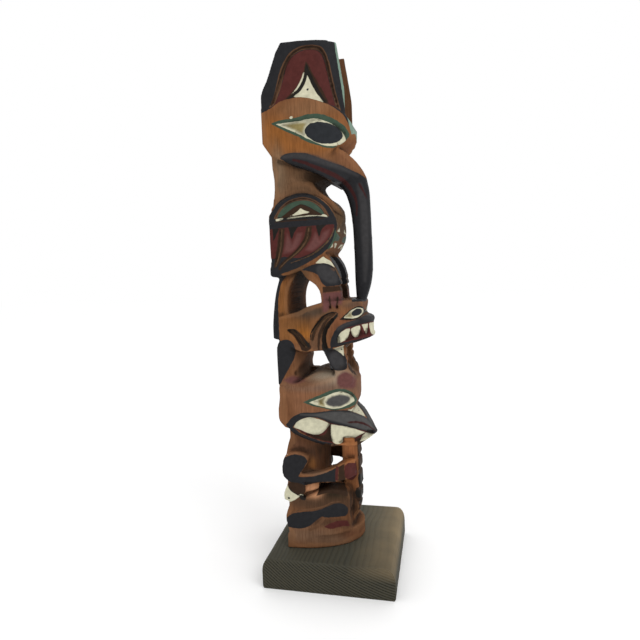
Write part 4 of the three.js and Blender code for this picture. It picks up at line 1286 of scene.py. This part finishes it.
# %% The block, and what it stands for
block = bpy.data.objects.new("base_board", bpy.data.meshes.new("base_board"))
bpy.context.scene.collection.objects.link(block)
sweep = block.modifiers.new("milled board", "NODES")
sweep.node_group = sweep_tree
for name, value in (("Width", WIDTH), ("Thickness", THICK), ("Length", LENGTH),
                    ("Round in", ROUND_IN), ("Round down", ROUND_DOWN),
                    ("Unevenness", UNEVENNESS), ("Material", fir)):
    sweep[socket_of(sweep_tree, name)] = value
apply_modifiers(block)
block.data.shade_smooth()
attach(block, "root")
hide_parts("base_block")
corners = positions(block.data)
print("block:", len(block.data.polygons), "faces, from", corners.min(0).round(4), "to",
      corners.max(0).round(4))

# %% [markdown]
# ## A pale table and soft light
# The part is shown on a plain white floor that runs into a white background, lit by one large soft
# light high on the figures' side, so that the shadow is faint and falls towards their backs. A
# small lamp would draw the carving harder, but it would also cut a sharp shadow into the floor.

# %% Floor
FLOOR_HALF = 6.0  # metres


def white_floor():
    """A matt floor, as pale as the background."""
    material, tree = new_material("white paper", "#ffffff")
    surface = add(tree, "ShaderNodeBsdfPrincipled", {
        "Base Color": linear("#ffffff"), "Roughness": 0.9, "Specular IOR Level": 0.0})
    add(tree, "ShaderNodeOutputMaterial", {"Surface": surface.outputs["BSDF"]})
    mesh = bpy.data.meshes.new("floor")
    h = FLOOR_HALF
    mesh.from_pydata([(-h, -h, 0), (h, -h, 0), (h, h, 0), (-h, h, 0)], [], [(0, 1, 2, 3)])
    mesh.materials.append(material)
    floor = bpy.data.objects.new("floor", mesh)
    bpy.context.scene.collection.objects.link(floor)
    return floor


floor = white_floor()
print("floor:", 2 * FLOOR_HALF, "m square")

# %% Light
def look_rotation(forward, roll=0.0):
    """The rotation that points -Z forward and keeps +Y up, turned by a roll."""
    forward = forward / np.linalg.norm(forward)
    right = np.cross(forward, (0, 0, 1))
    right /= np.linalg.norm(right)
    up = np.cross(right, forward)
    turned_right = math.cos(roll) * right + math.sin(roll) * up
    turned_up = math.cos(roll) * up - math.sin(roll) * right
    return Matrix(np.stack([turned_right, turned_up, -forward], 1).tolist()).to_euler()


def soft_light(name, place, target, power, size):
    """A square area light at a place, turned to a target."""
    lamp = bpy.data.lights.new(name, "AREA")
    lamp.energy, lamp.size = power, size
    light = bpy.data.objects.new(name, lamp)
    bpy.context.scene.collection.objects.link(light)
    light.location = place
    light.rotation_euler = look_rotation(np.array(target, float) - np.array(place, float))
    return light


world = bpy.data.worlds.new("white room")
bpy.context.scene.world = world
world.use_nodes = True
world.node_tree.nodes.clear()
glow = add(world.node_tree, "ShaderNodeBackground", {"Color": linear("#ffffff"), "Strength": 1.0})
add(world.node_tree, "ShaderNodeOutputWorld", {"Surface": glow.outputs[0]})
key = soft_light("key", (1.0, -0.9, 1.4), (0, 0, 0.25), power=7.0, size=0.8)
print("key light:", key.data.energy, "W,", key.data.size, "m square")

# %% Camera
YAW, PITCH, ROLL = 0.22804, -0.09154, -0.03665  # radians: left of +Y, above level, and tilt
LENS, SENSOR = 29.36, 36.0  # mm
forward = np.array([-math.sin(YAW) * math.cos(PITCH), math.cos(YAW) * math.cos(PITCH),
                    math.sin(PITCH)])
camera = bpy.data.objects.new("camera", bpy.data.cameras.new("camera"))
bpy.context.scene.collection.objects.link(camera)
camera.location = (0.117788, -0.566424, 0.331360)
camera.rotation_euler = look_rotation(forward, ROLL)
camera.data.lens = LENS
camera.data.sensor_width = SENSOR
bpy.context.scene.camera = camera
bpy.context.scene.view_settings.view_transform = "Standard"
bpy.context.scene.view_settings.look = "None"
print("camera at", tuple(round(c, 3) for c in camera.location), "lens", LENS, "mm")
